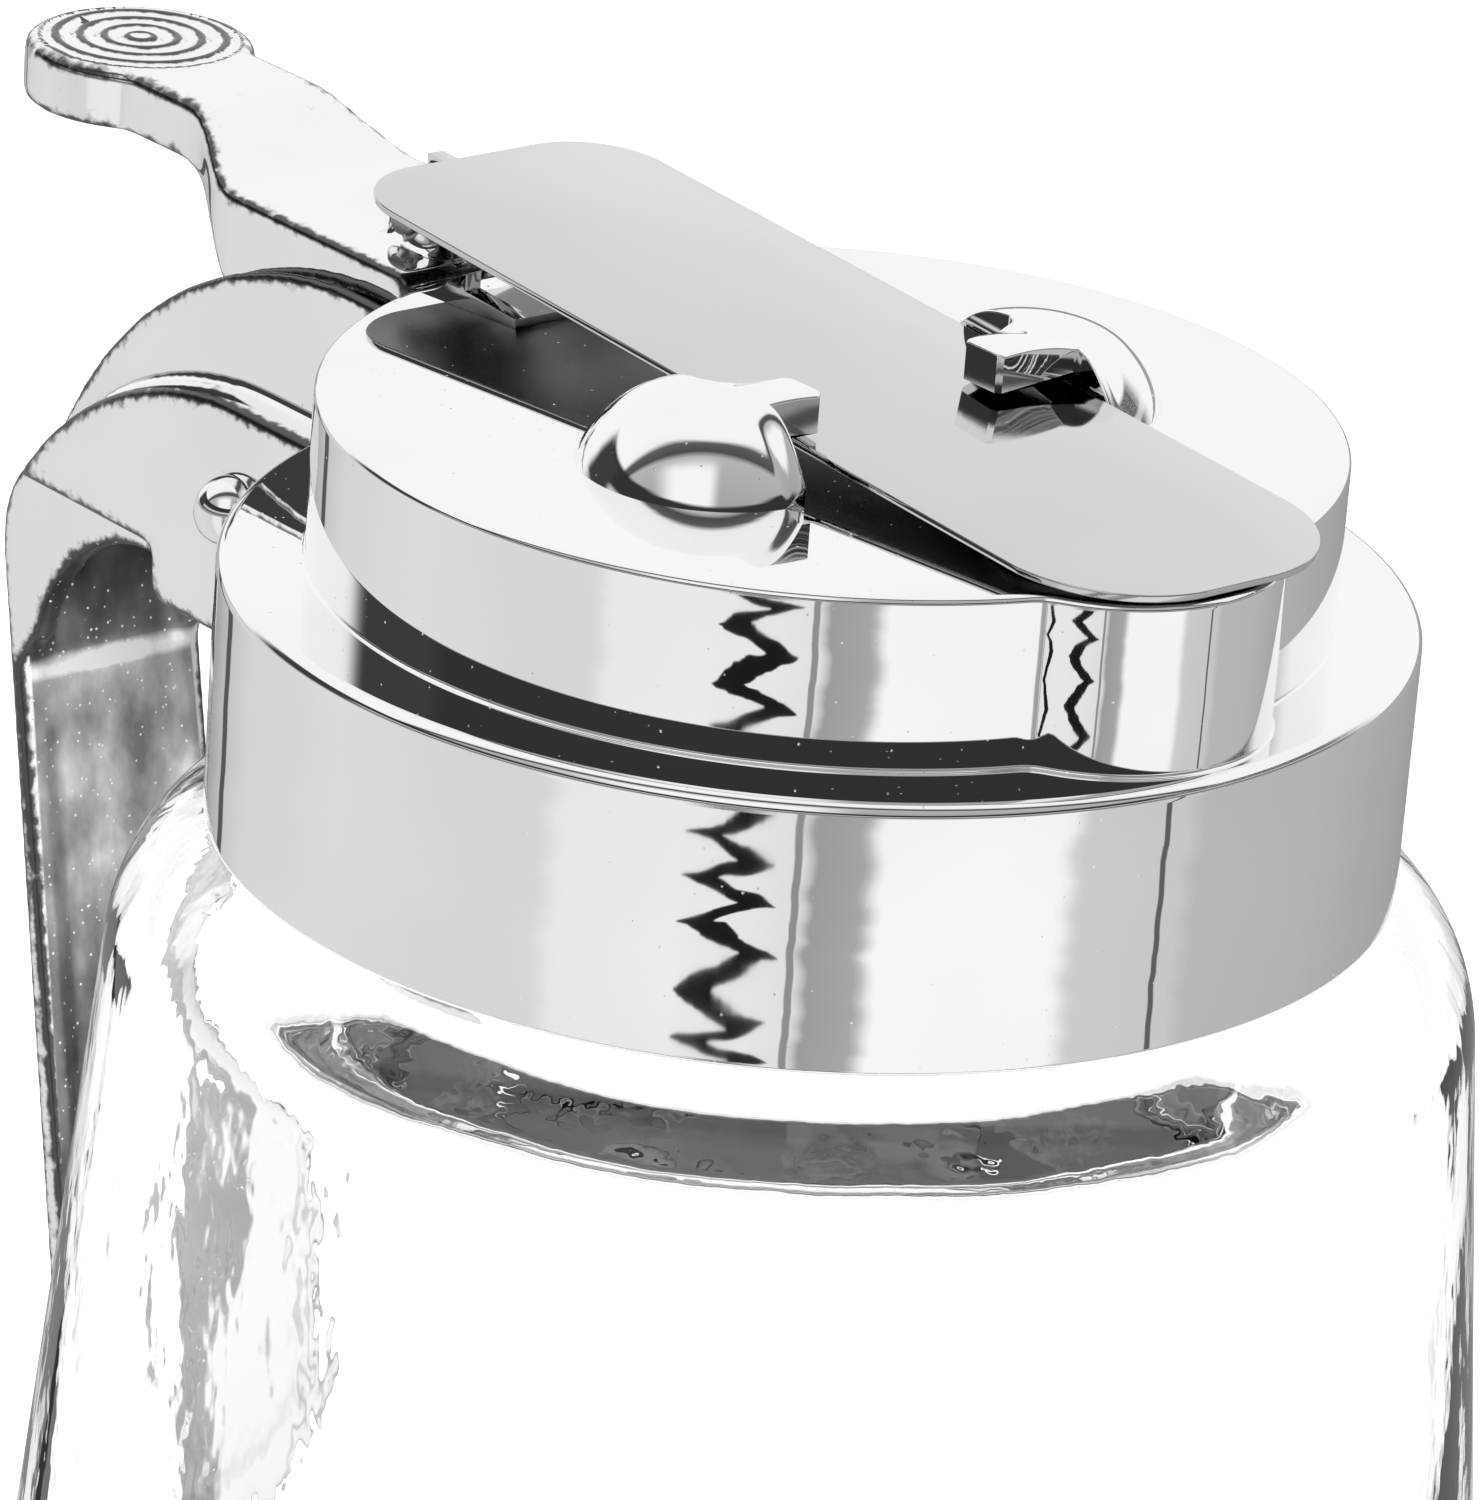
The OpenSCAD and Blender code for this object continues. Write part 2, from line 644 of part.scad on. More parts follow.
module pin_cap() {
    face_y = head_w / 2;
    ball_y = face_y + pin_cap_out - cap_r;
    color("silver") difference() {
        intersection() {
            translate([hinge_x, ball_y, hinge_z]) sphere(cap_r);
            translate([hinge_x - cap_r, face_y, hinge_z - cap_r]) cube(2 * cap_r);
        }
        rod_y(hinge_x, hinge_z, pin_r + 0.01, face_y - 1, face_y + pin_tail + seat_gap);
    }
}

module spring_bush() {
    half = arm_w / 2 - cheek_w - slide_gap;
    color("ivory") difference() {
        rod_y(hinge_x, hinge_z, bush_r, -half, half);
        rod_y(hinge_x, hinge_z, pin_r + fit_gap, -half - 1, half + 1);
    }
}

// Middle line of the spring: the leg under the arm, the coils, the leg on the pocket's rear wall
function spring_path() = concat(
    [[-coil_r, -spring_half, leg_top], [-coil_r, -spring_half, 2 * wire_r]],
    [for (i = [0:spring_steps * spring_turns])
        let (a = 180 + 360 * i / spring_steps)
        [coil_r * cos(a), -spring_half + spring_pitch * i / spring_steps, coil_r * sin(a)]],
    [[-2 * wire_r, spring_half, coil_r], [-leg_back, spring_half, coil_r]]);

module return_spring() {
    path = spring_path();
    last = len(path) - 1;
    rings = [for (i = [0:last])
        let (t = unit(path[min(i + 1, last)] - path[max(i - 1, 0)]),
            across = unit(cross(t, [0, 1, 0])), side = cross(t, across))
        [for (k = [0:spring_sides - 1])
            let (a = 360 * k / spring_sides)
            path[i] + wire_r * (cos(a) * across + sin(a) * side)]];
    coil = [for (i = [2:last - 2]) path[i]];
    gaps = [for (i = [0:len(coil) - 1]) for (j = [i + spring_steps / 2:1:len(coil) - 1])
        norm(coil[i] - coil[j]) - 2 * wire_r];
    echo(spring_least_gap = min(gaps));
    color("dimgray") translate([hinge_x, 0, hinge_z]) swept(rings);
}

// Half width of the lever's neck and pad at x
function lever_half(x) =
    let (t = max(0, min(1, (neck_start_x - x) / (neck_start_x - neck_end_x))))
    (arm_w + (neck_w - arm_w) * ease(t)) / 2;

// Side view of the neck and pad: an S rise from the arm to the pad
module neck_side() {
    n = 10;
    pad_z = top_z + pad_lift;
    rise = pad_z - arm_top_z;
    upper = [for (i = [0:n]) let (t = i / n)
        [neck_start_x + (neck_end_x - neck_start_x) * t, arm_top_z + rise * ease(t)]];
    under_z = pad_z - pad_t;
    root_z = arm_top_z - arm_t - neck_root;
    lower = [for (i = [0:n]) let (t = i / n)
        [neck_end_x - 1 + (neck_start_x - neck_end_x) * t, under_z + (root_z - under_z) * pow(t, 2.2)]];
    polygon(concat(
        [[arm_rear_x + 3, arm_top_z]], upper,
        [[pad_x - pad_r - 1, pad_z], [pad_x - pad_r - 1, under_z]], lower,
        [[arm_rear_x + 3, root_z]]));
}

module thumb_lever() {
    n = 12;
    xs = [for (i = [0:n]) arm_rear_x + 3 + (neck_end_x - 1 - arm_rear_x - 3) * i / n];
    in_half = arm_w / 2 - cheek_w;
    arm_low_z = arm_top_z - arm_t;
    slot_x = drive_x - ear_r - 2.6;
    color("silver") difference() {
        union() {
            // Top plate of the arm
            along_y(-arm_w / 2, arm_w / 2) polygon([
                [arm_front_x, arm_low_z], [arm_front_x, arm_top_z - arm_bevel],
                [arm_front_x - arm_bevel, arm_top_z],
                [arm_rear_x, arm_top_z], [arm_rear_x, arm_low_z]]);
            // Cheeks down to the hub
            along_y(-arm_w / 2, arm_w / 2) polygon([
                [hinge_x + arm_back, arm_low_z + eps],
                [pocket_front_x - slide_gap, bridge_z + slide_gap], [hinge_x + hub_r - 0.1, hinge_z + 1],
                [hinge_x - hub_r + 0.1, hinge_z - 0.8], [arm_rear_x, arm_low_z - 1.1],
                [arm_rear_x, arm_low_z + eps]]);
            rod_y(hinge_x, hinge_z, hub_r, -arm_w / 2, arm_w / 2);
            // Neck and thumb pad
            intersection() {
                along_y(-arm_w / 2, arm_w / 2) neck_side();
                translate([0, 0, hinge_z]) linear_extrude(60) {
                    polygon(concat(
                        [for (x = xs) [x, lever_half(x)]],
                        [[pad_x, neck_w / 2], [pad_x, -neck_w / 2]],
                        [for (i = [n:-1:0]) [xs[i], -lever_half(xs[i])]]));
                    translate([pad_x, 0]) circle(pad_r);
                }
            }
            // Ears for the drive pin
            along_y(-ear_w / 2, ear_w / 2) {
                translate([drive_x, drive_z]) circle(ear_r);
                polygon([[drive_x - ear_r, arm_low_z + 1], [drive_x - ear_r, drive_z],
                    [drive_x + ear_r + 1, drive_z + 0.1], [drive_x + ear_r + 1.6, arm_low_z + 1]]);
            }
            // Raised rings of the pad
            translate([pad_x, 0, top_z + pad_lift]) for (i = [1:pad_rings])
                difference() {
                    translate([0, 0, -eps]) cylinder(r = (pad_r - 1) * i / pad_rings, h = ring_h + eps);
                    translate([0, 0, -2 * eps])
                        cylinder(r = (pad_r - 1) * i / pad_rings - ring_w, h = ring_h + 3 * eps);
                }
        }
        // Space between the cheeks
        along_y(-in_half, in_half) polygon([
            [arm_front_x - 1, hinge_z - hub_r - 1], [arm_front_x - 1, arm_low_z],
            [arm_rear_x + 1.5, arm_low_z], [arm_rear_x + 1.5, hinge_z - hub_r - 1]]);
        // Slot for the blade's tab
        translate([slot_x, -ear_gap, arm_low_z - 1]) cube([-slot_x, 2 * ear_gap, arm_t + 10]);
        rod_y(hinge_x, hinge_z, pin_r + fit_gap, -arm_w, arm_w);
        rod_y(drive_x, drive_z, drive_pin_r + 0.01, -ear_w, ear_w);
    }
}

module drive_pin() {
    color("gray") rod_y(drive_x, drive_z, drive_pin_r, -ear_w / 2 - 0.3, ear_w / 2 + 0.3);
}

// Outline of the blade, along and across it, with rounded corners at both ends
module blade_plan() {
    front = blade_front / cos(blade_tilt);
    rear = blade_rear / cos(blade_tilt);
    half = blade_w / 2;
    front_r = 7.8;
    rear_r = 5.5;
    translate([-rear + rear_r, -half]) square([rear - rear_r + front - front_r, blade_w]);
    translate([-rear, -half + rear_r]) square([rear_r + 1, blade_w - 2 * rear_r]);
    translate([front - front_r - 1, -half + front_r]) square([front_r + 1, blade_w - 2 * front_r]);
    for (s = [-1, 1]) {
        translate([-rear + rear_r, s * (half - rear_r)]) circle(rear_r);
        translate([front - front_r, s * (half - front_r)]) circle(front_r);
    }
}

module shutter_blade() {
    color("lightgray") translate([0, blade_shift, top_z + blade_lift]) rotate([0, blade_tilt, 0])
        linear_extrude(blade_t) blade_plan();
}

// Tab welded under the blade: a flat foot and an upright plate with a slot for the drive pin
module blade_tab() {
    slot_half = drive_pin_r + drive_gap;
    slot_low_z = drive_z + tab_low_rel - seat_gap;
    slot_high_z = drive_z + tab_high_rel + seat_gap;
    low_z = slot_low_z - slot_half - tab_floor;
    foot = [drive_x + tab_foot[0], drive_x + tab_foot[1]];
    color("lightgray") difference() {
        union() {
            translate([0, 0, top_z + blade_lift]) rotate([0, blade_tilt, 0])
                translate([foot[0], -tab_t / 2, -tab_weld_t])
                    cube([foot[1] - foot[0], tab_foot_w, tab_weld_t]);
            along_y(-tab_t / 2, tab_t / 2) polygon([
                [drive_x - tab_half, low_z + tab_corner], [drive_x - tab_half + tab_corner, low_z],
                [drive_x + tab_half - tab_corner, low_z], [drive_x + tab_half, low_z + tab_corner],
                [drive_x + tab_half, drive_z + 1.6], [foot[1], under(foot[1]) - tab_weld_t],
                [foot[1], under(foot[1])], [drive_x - tab_half, under(drive_x - tab_half)]]);
        }
        rod_y(drive_x, slot_low_z, slot_half, -tab_t, tab_t);
        rod_y(drive_x, slot_high_z, slot_half, -tab_t, tab_t);
        along_y(-tab_t, tab_t) translate([drive_x - slot_half, slot_low_z])
            square([2 * slot_half, slot_high_z - slot_low_z]);
    }
}

glass_jar();
jar_gasket();
cap_shell();
threaded_liner();
pour_seat();
blade_guide_near();
blade_guide_far();
guide_screws();
handle();
handle_screws();
hinge_pin();
pin_cap();
spring_bush();
return_spring();
thumb_lever();
drive_pin();
shutter_blade();
blade_tab();
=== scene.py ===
"""Looks of the glass syrup dispenser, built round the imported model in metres."""
import json
import math

import bmesh
import bpy
from mathutils import Matrix, Vector, noise

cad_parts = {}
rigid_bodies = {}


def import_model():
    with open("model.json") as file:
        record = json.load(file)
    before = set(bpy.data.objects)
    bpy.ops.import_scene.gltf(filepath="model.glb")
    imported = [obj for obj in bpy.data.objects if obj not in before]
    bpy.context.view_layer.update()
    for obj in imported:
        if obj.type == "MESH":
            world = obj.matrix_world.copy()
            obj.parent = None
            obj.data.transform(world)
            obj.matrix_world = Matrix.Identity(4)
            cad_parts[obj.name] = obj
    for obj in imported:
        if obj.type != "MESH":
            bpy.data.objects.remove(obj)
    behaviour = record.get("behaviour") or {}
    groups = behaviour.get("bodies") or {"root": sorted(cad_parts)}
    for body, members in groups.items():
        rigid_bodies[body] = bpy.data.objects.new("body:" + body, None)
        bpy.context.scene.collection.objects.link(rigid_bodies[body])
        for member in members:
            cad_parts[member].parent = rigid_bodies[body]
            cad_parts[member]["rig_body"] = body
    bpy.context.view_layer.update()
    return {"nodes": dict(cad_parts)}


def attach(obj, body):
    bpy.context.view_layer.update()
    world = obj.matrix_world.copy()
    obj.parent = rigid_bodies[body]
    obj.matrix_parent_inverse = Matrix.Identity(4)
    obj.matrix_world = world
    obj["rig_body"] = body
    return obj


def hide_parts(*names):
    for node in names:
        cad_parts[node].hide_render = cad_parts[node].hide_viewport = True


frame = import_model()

MM = 0.001
NODES = frame["nodes"]

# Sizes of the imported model, in millimetres
COLLAR_R = 35.15
COLLAR_IN_R = 33.65
COLLAR_LOW = 103.7
LEDGE = 119.8
LEDGE_UNDER = 118.2
TOP = 130.0
TURRET_R = 30
TURRET_WALL = 2
NOSE_X = 24
NOSE_R = 10
NOSE_FILLET = 2.5
SEAT_HOLE_R = 7.05
DOME_X = 3.5
DOME_Y = 12.0
DOME_R = 7.8
DOME_H = 5.1
DOME_CREST = 5.3
DOME_FLAT = 4.75
DOME_BALL = (DOME_R ** 2 + DOME_CREST ** 2) / (2 * DOME_CREST)
GUIDE_FACE = 11.6
FINGER_LOW = 2.72
JAR_H = 115.6
HINGE_X = -41.5
HINGE_Z = 112.2
ARM_REAR = -48.0
ARM_TOP = 129.8
ARM_IN = 5.3
PAD_X = -68.7
PAD_TOP = 133.0
PAD_RINGS_R = 6.2

# Camera: place, line of sight, roll and lens fitted to the photograph, and the degrees between
# the nose and the camera's side
CAMERA_AT = Vector((0.3469, -0.3068, 0.2944))
CAMERA_VIEW = Vector((-0.7004, 0.6089, -0.3725)).normalized()
CAMERA_ROLL = math.radians(4.32)
CAMERA_LENS = 204.2
CAMERA_SENSOR = 36
CAMERA_REACH = (0.01, 20)
CAMERA_TURN = 41


def make_camera():
    right = CAMERA_VIEW.cross(Vector((0, 0, 1))).normalized()
    up = right.cross(CAMERA_VIEW)
    across = math.cos(CAMERA_ROLL) * right + math.sin(CAMERA_ROLL) * up
    upward = -math.sin(CAMERA_ROLL) * right + math.cos(CAMERA_ROLL) * up
    data = bpy.data.cameras.new("camera")
    data.sensor_width = CAMERA_SENSOR
    data.lens = CAMERA_LENS
    data.clip_start, data.clip_end = CAMERA_REACH
    camera = bpy.data.objects.new("camera", data)
    bpy.context.scene.collection.objects.link(camera)
    turn = Matrix((across, upward, -CAMERA_VIEW)).transposed()
    camera.matrix_world = Matrix.Translation(CAMERA_AT) @ turn.to_4x4()
    bpy.context.scene.camera = camera


# Materials
def new_material(name):
    material = bpy.data.materials.new(name)
    material.use_nodes = True
    tree = material.node_tree
    return material, tree, tree.nodes["Principled BSDF"]


def place_noise(tree, scale, detail=3.0, stretch=(1, 1, 1), kind="ShaderNodeTexNoise"):
    """Noise or cells in the frame's own coordinates, their scale per metre."""
    where = tree.nodes.new("ShaderNodeTexCoord")
    mapping = tree.nodes.new("ShaderNodeMapping")
    mapping.inputs["Scale"].default_value = stretch
    texture = tree.nodes.new(kind)
    texture.inputs["Scale"].default_value = scale
    if kind == "ShaderNodeTexNoise":
        texture.inputs["Detail"].default_value = detail
    tree.links.new(where.outputs["Object"], mapping.inputs["Vector"])
    tree.links.new(mapping.outputs["Vector"], texture.inputs["Vector"])
    return texture


def ramp(tree, source, stops):
    """Colour ramp from stops, each a place and a grey or a colour."""
    node = tree.nodes.new("ShaderNodeValToRGB")
    elements = node.color_ramp.elements
    while len(elements) < len(stops):
        elements.new(0.5)
    for element, (place, tone) in zip(elements, stops):
        element.position = place
        element.color = (*tone, 1) if hasattr(tone, "__len__") else (tone, tone, tone, 1)
    tree.links.new(source, node.inputs["Fac"])
    return node.outputs["Color"]


def bump(tree, height, strength, distance, normal=None):
    node = tree.nodes.new("ShaderNodeBump")
    node.inputs["Strength"].default_value = strength
    node.inputs["Distance"].default_value = distance
    tree.links.new(height, node.inputs["Height"])
    if normal is not None:
        tree.links.new(normal, node.inputs["Normal"])
    return node.outputs["Normal"]


class Graph:
    """Short words for the sums in a node tree."""

    def __init__(self, tree):
        self.tree = tree

    def math(self, operation, *values):
        node = self.tree.nodes.new("ShaderNodeMath")
        node.operation = operation
        for socket, value in zip(node.inputs, values):
            if isinstance(value, (int, float)):
                socket.default_value = value
            else:
                self.tree.links.new(value, socket)
        return node.outputs[0]

    def dot(self, vector, direction):
        node = self.tree.nodes.new("ShaderNodeVectorMath")
        node.operation = "DOT_PRODUCT"
        self.tree.links.new(vector, node.inputs[0])
        node.inputs[1].default_value = direction
        return node.outputs["Value"]

    def step(self, value, low, high):
        """Smooth step from 0 at low to 1 at high."""
        node = self.tree.nodes.new("ShaderNodeMapRange")
        node.interpolation_type = "SMOOTHSTEP"
        node.inputs["From Min"].default_value = min(low, high)
        node.inputs["From Max"].default_value = max(low, high)
        node.inputs["To Min"].default_value = 0 if low < high else 1
        node.inputs["To Max"].default_value = 1 if low < high else 0
        self.tree.links.new(value, node.inputs["Value"])
        return node.outputs["Result"]

    def mix(self, share, a, b):
        """a + share * (b - a), on single values."""
        return self.math("MULTIPLY_ADD", share, self.math("SUBTRACT", b, a), a)

    def ramp(self, value, stops, low, high):
        """Brightness by stops over a range of the value, as a single value."""
        place = self.math("DIVIDE", self.math("SUBTRACT", value, low), high - low)
        colour = ramp(self.tree, place, [((p - low) / (high - low), g) for p, g in stops])
        return self.math("MULTIPLY", colour, 1.0)

    def noise_1d(self, value, scale, detail=2):
        """Noise along one value, about zero."""
        node = self.tree.nodes.new("ShaderNodeTexNoise")
        node.noise_dimensions = "1D"
        node.inputs["Scale"].default_value = scale
        node.inputs["Detail"].default_value = detail
        self.tree.links.new(value, node.inputs["W"])
        return self.math("SUBTRACT", node.outputs["Fac"], 0.5)


# Chrome: tone and roughness over the plating's noise, and a painted dark reflection along a
# casting's rims, which are also made rougher
CHROME_TONE = [(0.3, 0.88), (0.7, 0.93)]
CHROME_ROUGH = [(0.35, 0.004), (0.75, 0.018)]
CHROME_PITS = [(0.0, 1.0), (0.07, 0.0)]
RIM_BEADS = 0.035
RIM_EDGE = (0.507, 0.522)
RIM_PAINTED_TONE = 0.10
RIM_ROUGH = 0.25

# The grip's channel, rougher than the chrome and painted with dark reflections, a highlight line and
# glints, in
# millimetres: its slant, its soft edges as pairs from where to where they fade, and its painted
# brightness by height
CHANNEL_SLANT_X = 0.985
CHANNEL_SLANT_Z = 0.174
CHANNEL_REACH = 52.9
CHANNEL_FLOOR = (0, 0.3)
CHANNEL_FLANK = 0.8
CHANNEL_FLANK_MAX = 1.55
CHANNEL_SIDE = (5.7, 5.5)
CHANNEL_TOP = (105.4, 105.0)
CHANNEL_FRONT = (-48.5, -49)
CHANNEL_ROUGH = 0.3
CHANNEL_PAINTED_MOTTLE = [(0.3, 0.22), (0.5, 0.46), (0.7, 0.80)]
CHANNEL_LIGHTEST = 0.95
HIGHLIGHT_LINE_Z = 91
HIGHLIGHT_LINE_GAIN = 2.4
CHANNEL_PAINTED_HEIGHTS = [
    (0, 0.3), (60, 0.35), (70, 0.45), (78, 1.0), (HIGHLIGHT_LINE_Z - 0.8, 0.9), (HIGHLIGHT_LINE_Z - 0.3, HIGHLIGHT_LINE_GAIN),
    (HIGHLIGHT_LINE_Z + 0.3, HIGHLIGHT_LINE_GAIN), (HIGHLIGHT_LINE_Z + 1, 0.35), (97, 0.15), (105, 0.12),
]
CHANNEL_HEIGHT_END = 110
PALE_PATCH_Y = (-2.5, 0)
PALE_PATCH_Z = (76, 70)
PALE_PATCH_TONE = 0.92
GLINT_EDGE = (0.16, 0.12)


def chrome_material(name, wavy=0.014, painted_rims=False, channel=False):
    """Mirror chrome, with a painted dark reflection along a casting's rims, and with the grip's
    rougher channel painted with dark reflections, a highlight line and glints.
    """
    material, tree, shader = new_material(name)
    shader.inputs["Metallic"].default_value = 1.0
    g = Graph(tree)
    plating = place_noise(tree, scale=60, detail=2)
    tone = g.ramp(plating.outputs["Fac"], CHROME_TONE, 0, 1)
    haze = place_noise(tree, scale=140, detail=4)
    rough = g.ramp(haze.outputs["Fac"], CHROME_ROUGH, 0, 1)
    if painted_rims:
        # Painted dark reflection along the convex rims, which are also made rougher
        point = tree.nodes.new("ShaderNodeNewGeometry").outputs["Pointiness"]
        beads = place_noise(tree, scale=1300, detail=3)
        beads = g.math("MULTIPLY", g.math("SUBTRACT", beads.outputs["Fac"], 0.5), RIM_BEADS)
        rim = g.step(g.math("ADD", point, beads), *RIM_EDGE)
        tone = g.mix(rim, tone, RIM_PAINTED_TONE)
        rough = g.mix(rim, rough, RIM_ROUGH)
    if channel:
        # The channel: rougher, with painted reflections in its colour
        inside, painted_tone = channel_painted_reflection(tree, g)
        tone = g.mix(inside, tone, painted_tone)
        rough = g.mix(inside, rough, CHANNEL_ROUGH)
    tree.links.new(tone, shader.inputs["Base Color"])
    tree.links.new(rough, shader.inputs["Roughness"])
    waves = place_noise(tree, scale=110, detail=2)
    specks = place_noise(tree, scale=900, kind="ShaderNodeTexVoronoi")
    pits = ramp(tree, specks.outputs["Distance"], CHROME_PITS)
    skin = bump(tree, waves.outputs["Fac"], strength=wavy, distance=0.0004)
    skin = bump(tree, pits, strength=0.35, distance=0.00004, normal=skin)
    tree.links.new(skin, shader.inputs["Normal"])
    return material


def channel_painted_reflection(tree, g):
    """Where the grip's channel lies, and its painted reflections: a mottled tone, darker low down
    and darkest at the top, with a painted highlight line near the top, a pale patch low on the far
    side and painted glints.
    """
    where = tree.nodes.new("ShaderNodeTexCoord").outputs["Object"]
    axes = ((1, 0, 0), (0, 1, 0), (0, 0, 1))
    x, y, z = (g.math("MULTIPLY", g.dot(where, axis), 1000) for axis in axes)
    deep = g.math("MULTIPLY", x, CHANNEL_SLANT_X)
    deep = g.math("ADD", deep, g.math("MULTIPLY", z, CHANNEL_SLANT_Z))
    deep = g.math("ADD", deep, CHANNEL_REACH)
    flank = g.math("MINIMUM", g.math("MULTIPLY", deep, CHANNEL_FLANK), CHANNEL_FLANK_MAX)
    across = g.math("SUBTRACT", g.math("ABSOLUTE", y), flank)
    inside = g.math("MULTIPLY", g.step(deep, *CHANNEL_FLOOR), g.step(across, *CHANNEL_SIDE))
    ends = g.math("MULTIPLY", g.step(z, *CHANNEL_TOP), g.step(x, *CHANNEL_FRONT))
    inside = g.math("MULTIPLY", inside, ends)
    # Painted dark reflections: a mottled tone, dimmed by height as painted shade, with a painted
    # highlight line
    mottle = place_noise(tree, scale=330, detail=6, stretch=(1, 1, 0.6))
    tone = g.ramp(mottle.outputs["Fac"], CHANNEL_PAINTED_MOTTLE, 0, 1)
    shares = [(height, bright / HIGHLIGHT_LINE_GAIN) for height, bright in CHANNEL_PAINTED_HEIGHTS]
    bright = g.ramp(z, shares, 0, CHANNEL_HEIGHT_END)
    tone = g.math("MINIMUM", g.math("MULTIPLY", tone, bright), 1)
    tone = g.math("MINIMUM", g.math("MULTIPLY", tone, HIGHLIGHT_LINE_GAIN), CHANNEL_LIGHTEST)
    # A pale patch low on the far side, left without the painted reflections
    pale_patch = g.math("MULTIPLY", g.step(y, *PALE_PATCH_Y), g.step(z, *PALE_PATCH_Z))
    tone = g.mix(pale_patch, tone, PALE_PATCH_TONE)
    # Painted glints
    glint_cells = place_noise(tree, scale=1500, kind="ShaderNodeTexVoronoi")
    glints = g.step(glint_cells.outputs["Distance"], *GLINT_EDGE)
    return inside, g.mix(glints, tone, CHANNEL_LIGHTEST)


# Steel's downward faces, where they are rougher and painted dark as shade: from which slope on, how
# rough and how dark
BELOW_SLOPE = (0.3, 0.6)
BELOW_ROUGH = 0.35
BELOW_PAINTED_SHADE = 0.16


def satin_material(name, grey, rough, grain, dull_shaded_below=False):
    """Steel brushed along X, with its downward faces rougher and painted dark as shade where asked.
    """
    material, tree, shader = new_material(name)
    shader.inputs["Metallic"].default_value = 1.0
    strokes = place_noise(tree, grain, detail=3, stretch=(0.04, 1, 1))
    low, high = rough
    g = Graph(tree)
    gloss = g.ramp(strokes.outputs["Fac"], [(0.3, low), (0.7, high)], 0, 1)
    tone = place_noise(tree, scale=70, detail=3)
    shade = g.ramp(tone.outputs["Fac"], [(0.3, grey * 0.975), (0.7, grey * 1.02)], 0, 1)
    if dull_shaded_below:
        # Downward faces: rougher, and painted darker as shade
        facing = g.dot(tree.nodes.new("ShaderNodeNewGeometry").outputs["Normal"], (0, 0, -1))
        below = g.step(facing, *BELOW_SLOPE)
        gloss = g.mix(below, gloss, BELOW_ROUGH)
        shade = g.mix(below, shade, BELOW_PAINTED_SHADE)
    tree.links.new(gloss, shader.inputs["Roughness"])
    tree.links.new(shade, shader.inputs["Base Color"])
    skin = bump(tree, strokes.outputs["Fac"], strength=0.02, distance=0.00003)
    tree.links.new(skin, shader.inputs["Normal"])
    return material


def glass_material():
    """Clear glass with a faint haze and fine ripples."""
    material, tree, shader = new_material("clear_glass")
    shader.inputs["Transmission Weight"].default_value = 1.0
    shader.inputs["IOR"].default_value = 1.5
    shader.inputs["Base Color"].default_value = (0.985, 0.99, 0.99, 1)
    haze = place_noise(tree, scale=80, detail=3)
    rough = ramp(tree, haze.outputs["Fac"], [(0.4, 0.0), (0.75, 0.02)])
    tree.links.new(rough, shader.inputs["Roughness"])
    fine = place_noise(tree, scale=380, detail=2, stretch=(1, 1, 0.6))
    skin = bump(tree, fine.outputs["Fac"], strength=0.10, distance=0.0004)
    tree.links.new(skin, shader.inputs["Normal"])
    return material


def soft_material(name, shade, rough, grain):
    """Plastic or rubber with a fine moulded grain."""
    material, tree, shader = new_material(name)
    tone = place_noise(tree, grain / 8, detail=2)
    shades = [(0.3, [c * 0.95 for c in shade]), (0.7, shade)]
    tree.links.new(ramp(tree, tone.outputs["Fac"], shades), shader.inputs["Base Color"])
    fine = place_noise(tree, grain, detail=3)
    low, high = rough
    gloss = ramp(tree, fine.outputs["Fac"], [(0.3, low), (0.7, high)])
    tree.links.new(gloss, shader.inputs["Roughness"])
    skin = bump(tree, fine.outputs["Fac"], strength=0.1, distance=0.00005)
    tree.links.new(skin, shader.inputs["Normal"])
    return material


STEEL = {"grey": 0.64, "rough": (0.035, 0.075), "grain": 4200}
CHROME = chrome_material("mirror_chrome")
GUIDE_CHROME = chrome_material("guide_chrome", wavy=0.11)
LEVER_CHROME = chrome_material("lever_chrome", wavy=0.04, painted_rims=True)
HANDLE_CHROME = chrome_material("handle_chrome", wavy=0.04, painted_rims=True, channel=True)
SATIN = satin_material("satin_steel", **STEEL)
BLADE_STEEL = satin_material("blade_steel", **STEEL, dull_shaded_below=True)
PLAIN_STEEL = satin_material("fastener_steel", grey=0.5, rough=(0.25, 0.38), grain=2600)
GLASS = glass_material()
WHITE_PLASTIC = soft_material("white_plastic", (0.82, 0.82, 0.80), rough=(0.35, 0.5), grain=1800)
RUBBER = soft_material("sealing_rubber", (0.62, 0.62, 0.60), rough=(0.6, 0.8), grain=2400)


# Mesh helpers
def arc(cx, cy, r, a0, a1, n):
    """Points of an arc in n steps, angles in degrees."""
    turn = [math.radians(a0 + (a1 - a0) * i / n) for i in range(n + 1)]
    return [(cx + r * math.cos(a), cy + r * math.sin(a)) for a in turn]


def add_ring(bm, points):
    return [bm.verts.new(Vector(p) * MM) for p in points]


def bridge(bm, first, second):
    """Quads between two rings of the same count."""
    count = len(first)
    for i in range(count):
        j = (i + 1) % count
        bm.faces.new((first[i], first[j], second[j], second[i]))


def fill(bm, *rings):
    """Flat triangles between closed rings, the outer one and its holes."""
    edges = []
    for ring in rings:
        for i, vert in enumerate(ring):
            after = ring[(i + 1) % len(ring)]
            edges.append(bm.edges.get((vert, after)) or bm.edges.new((vert, after)))
    bmesh.ops.triangle_fill(bm, use_beauty=True, edges=edges)


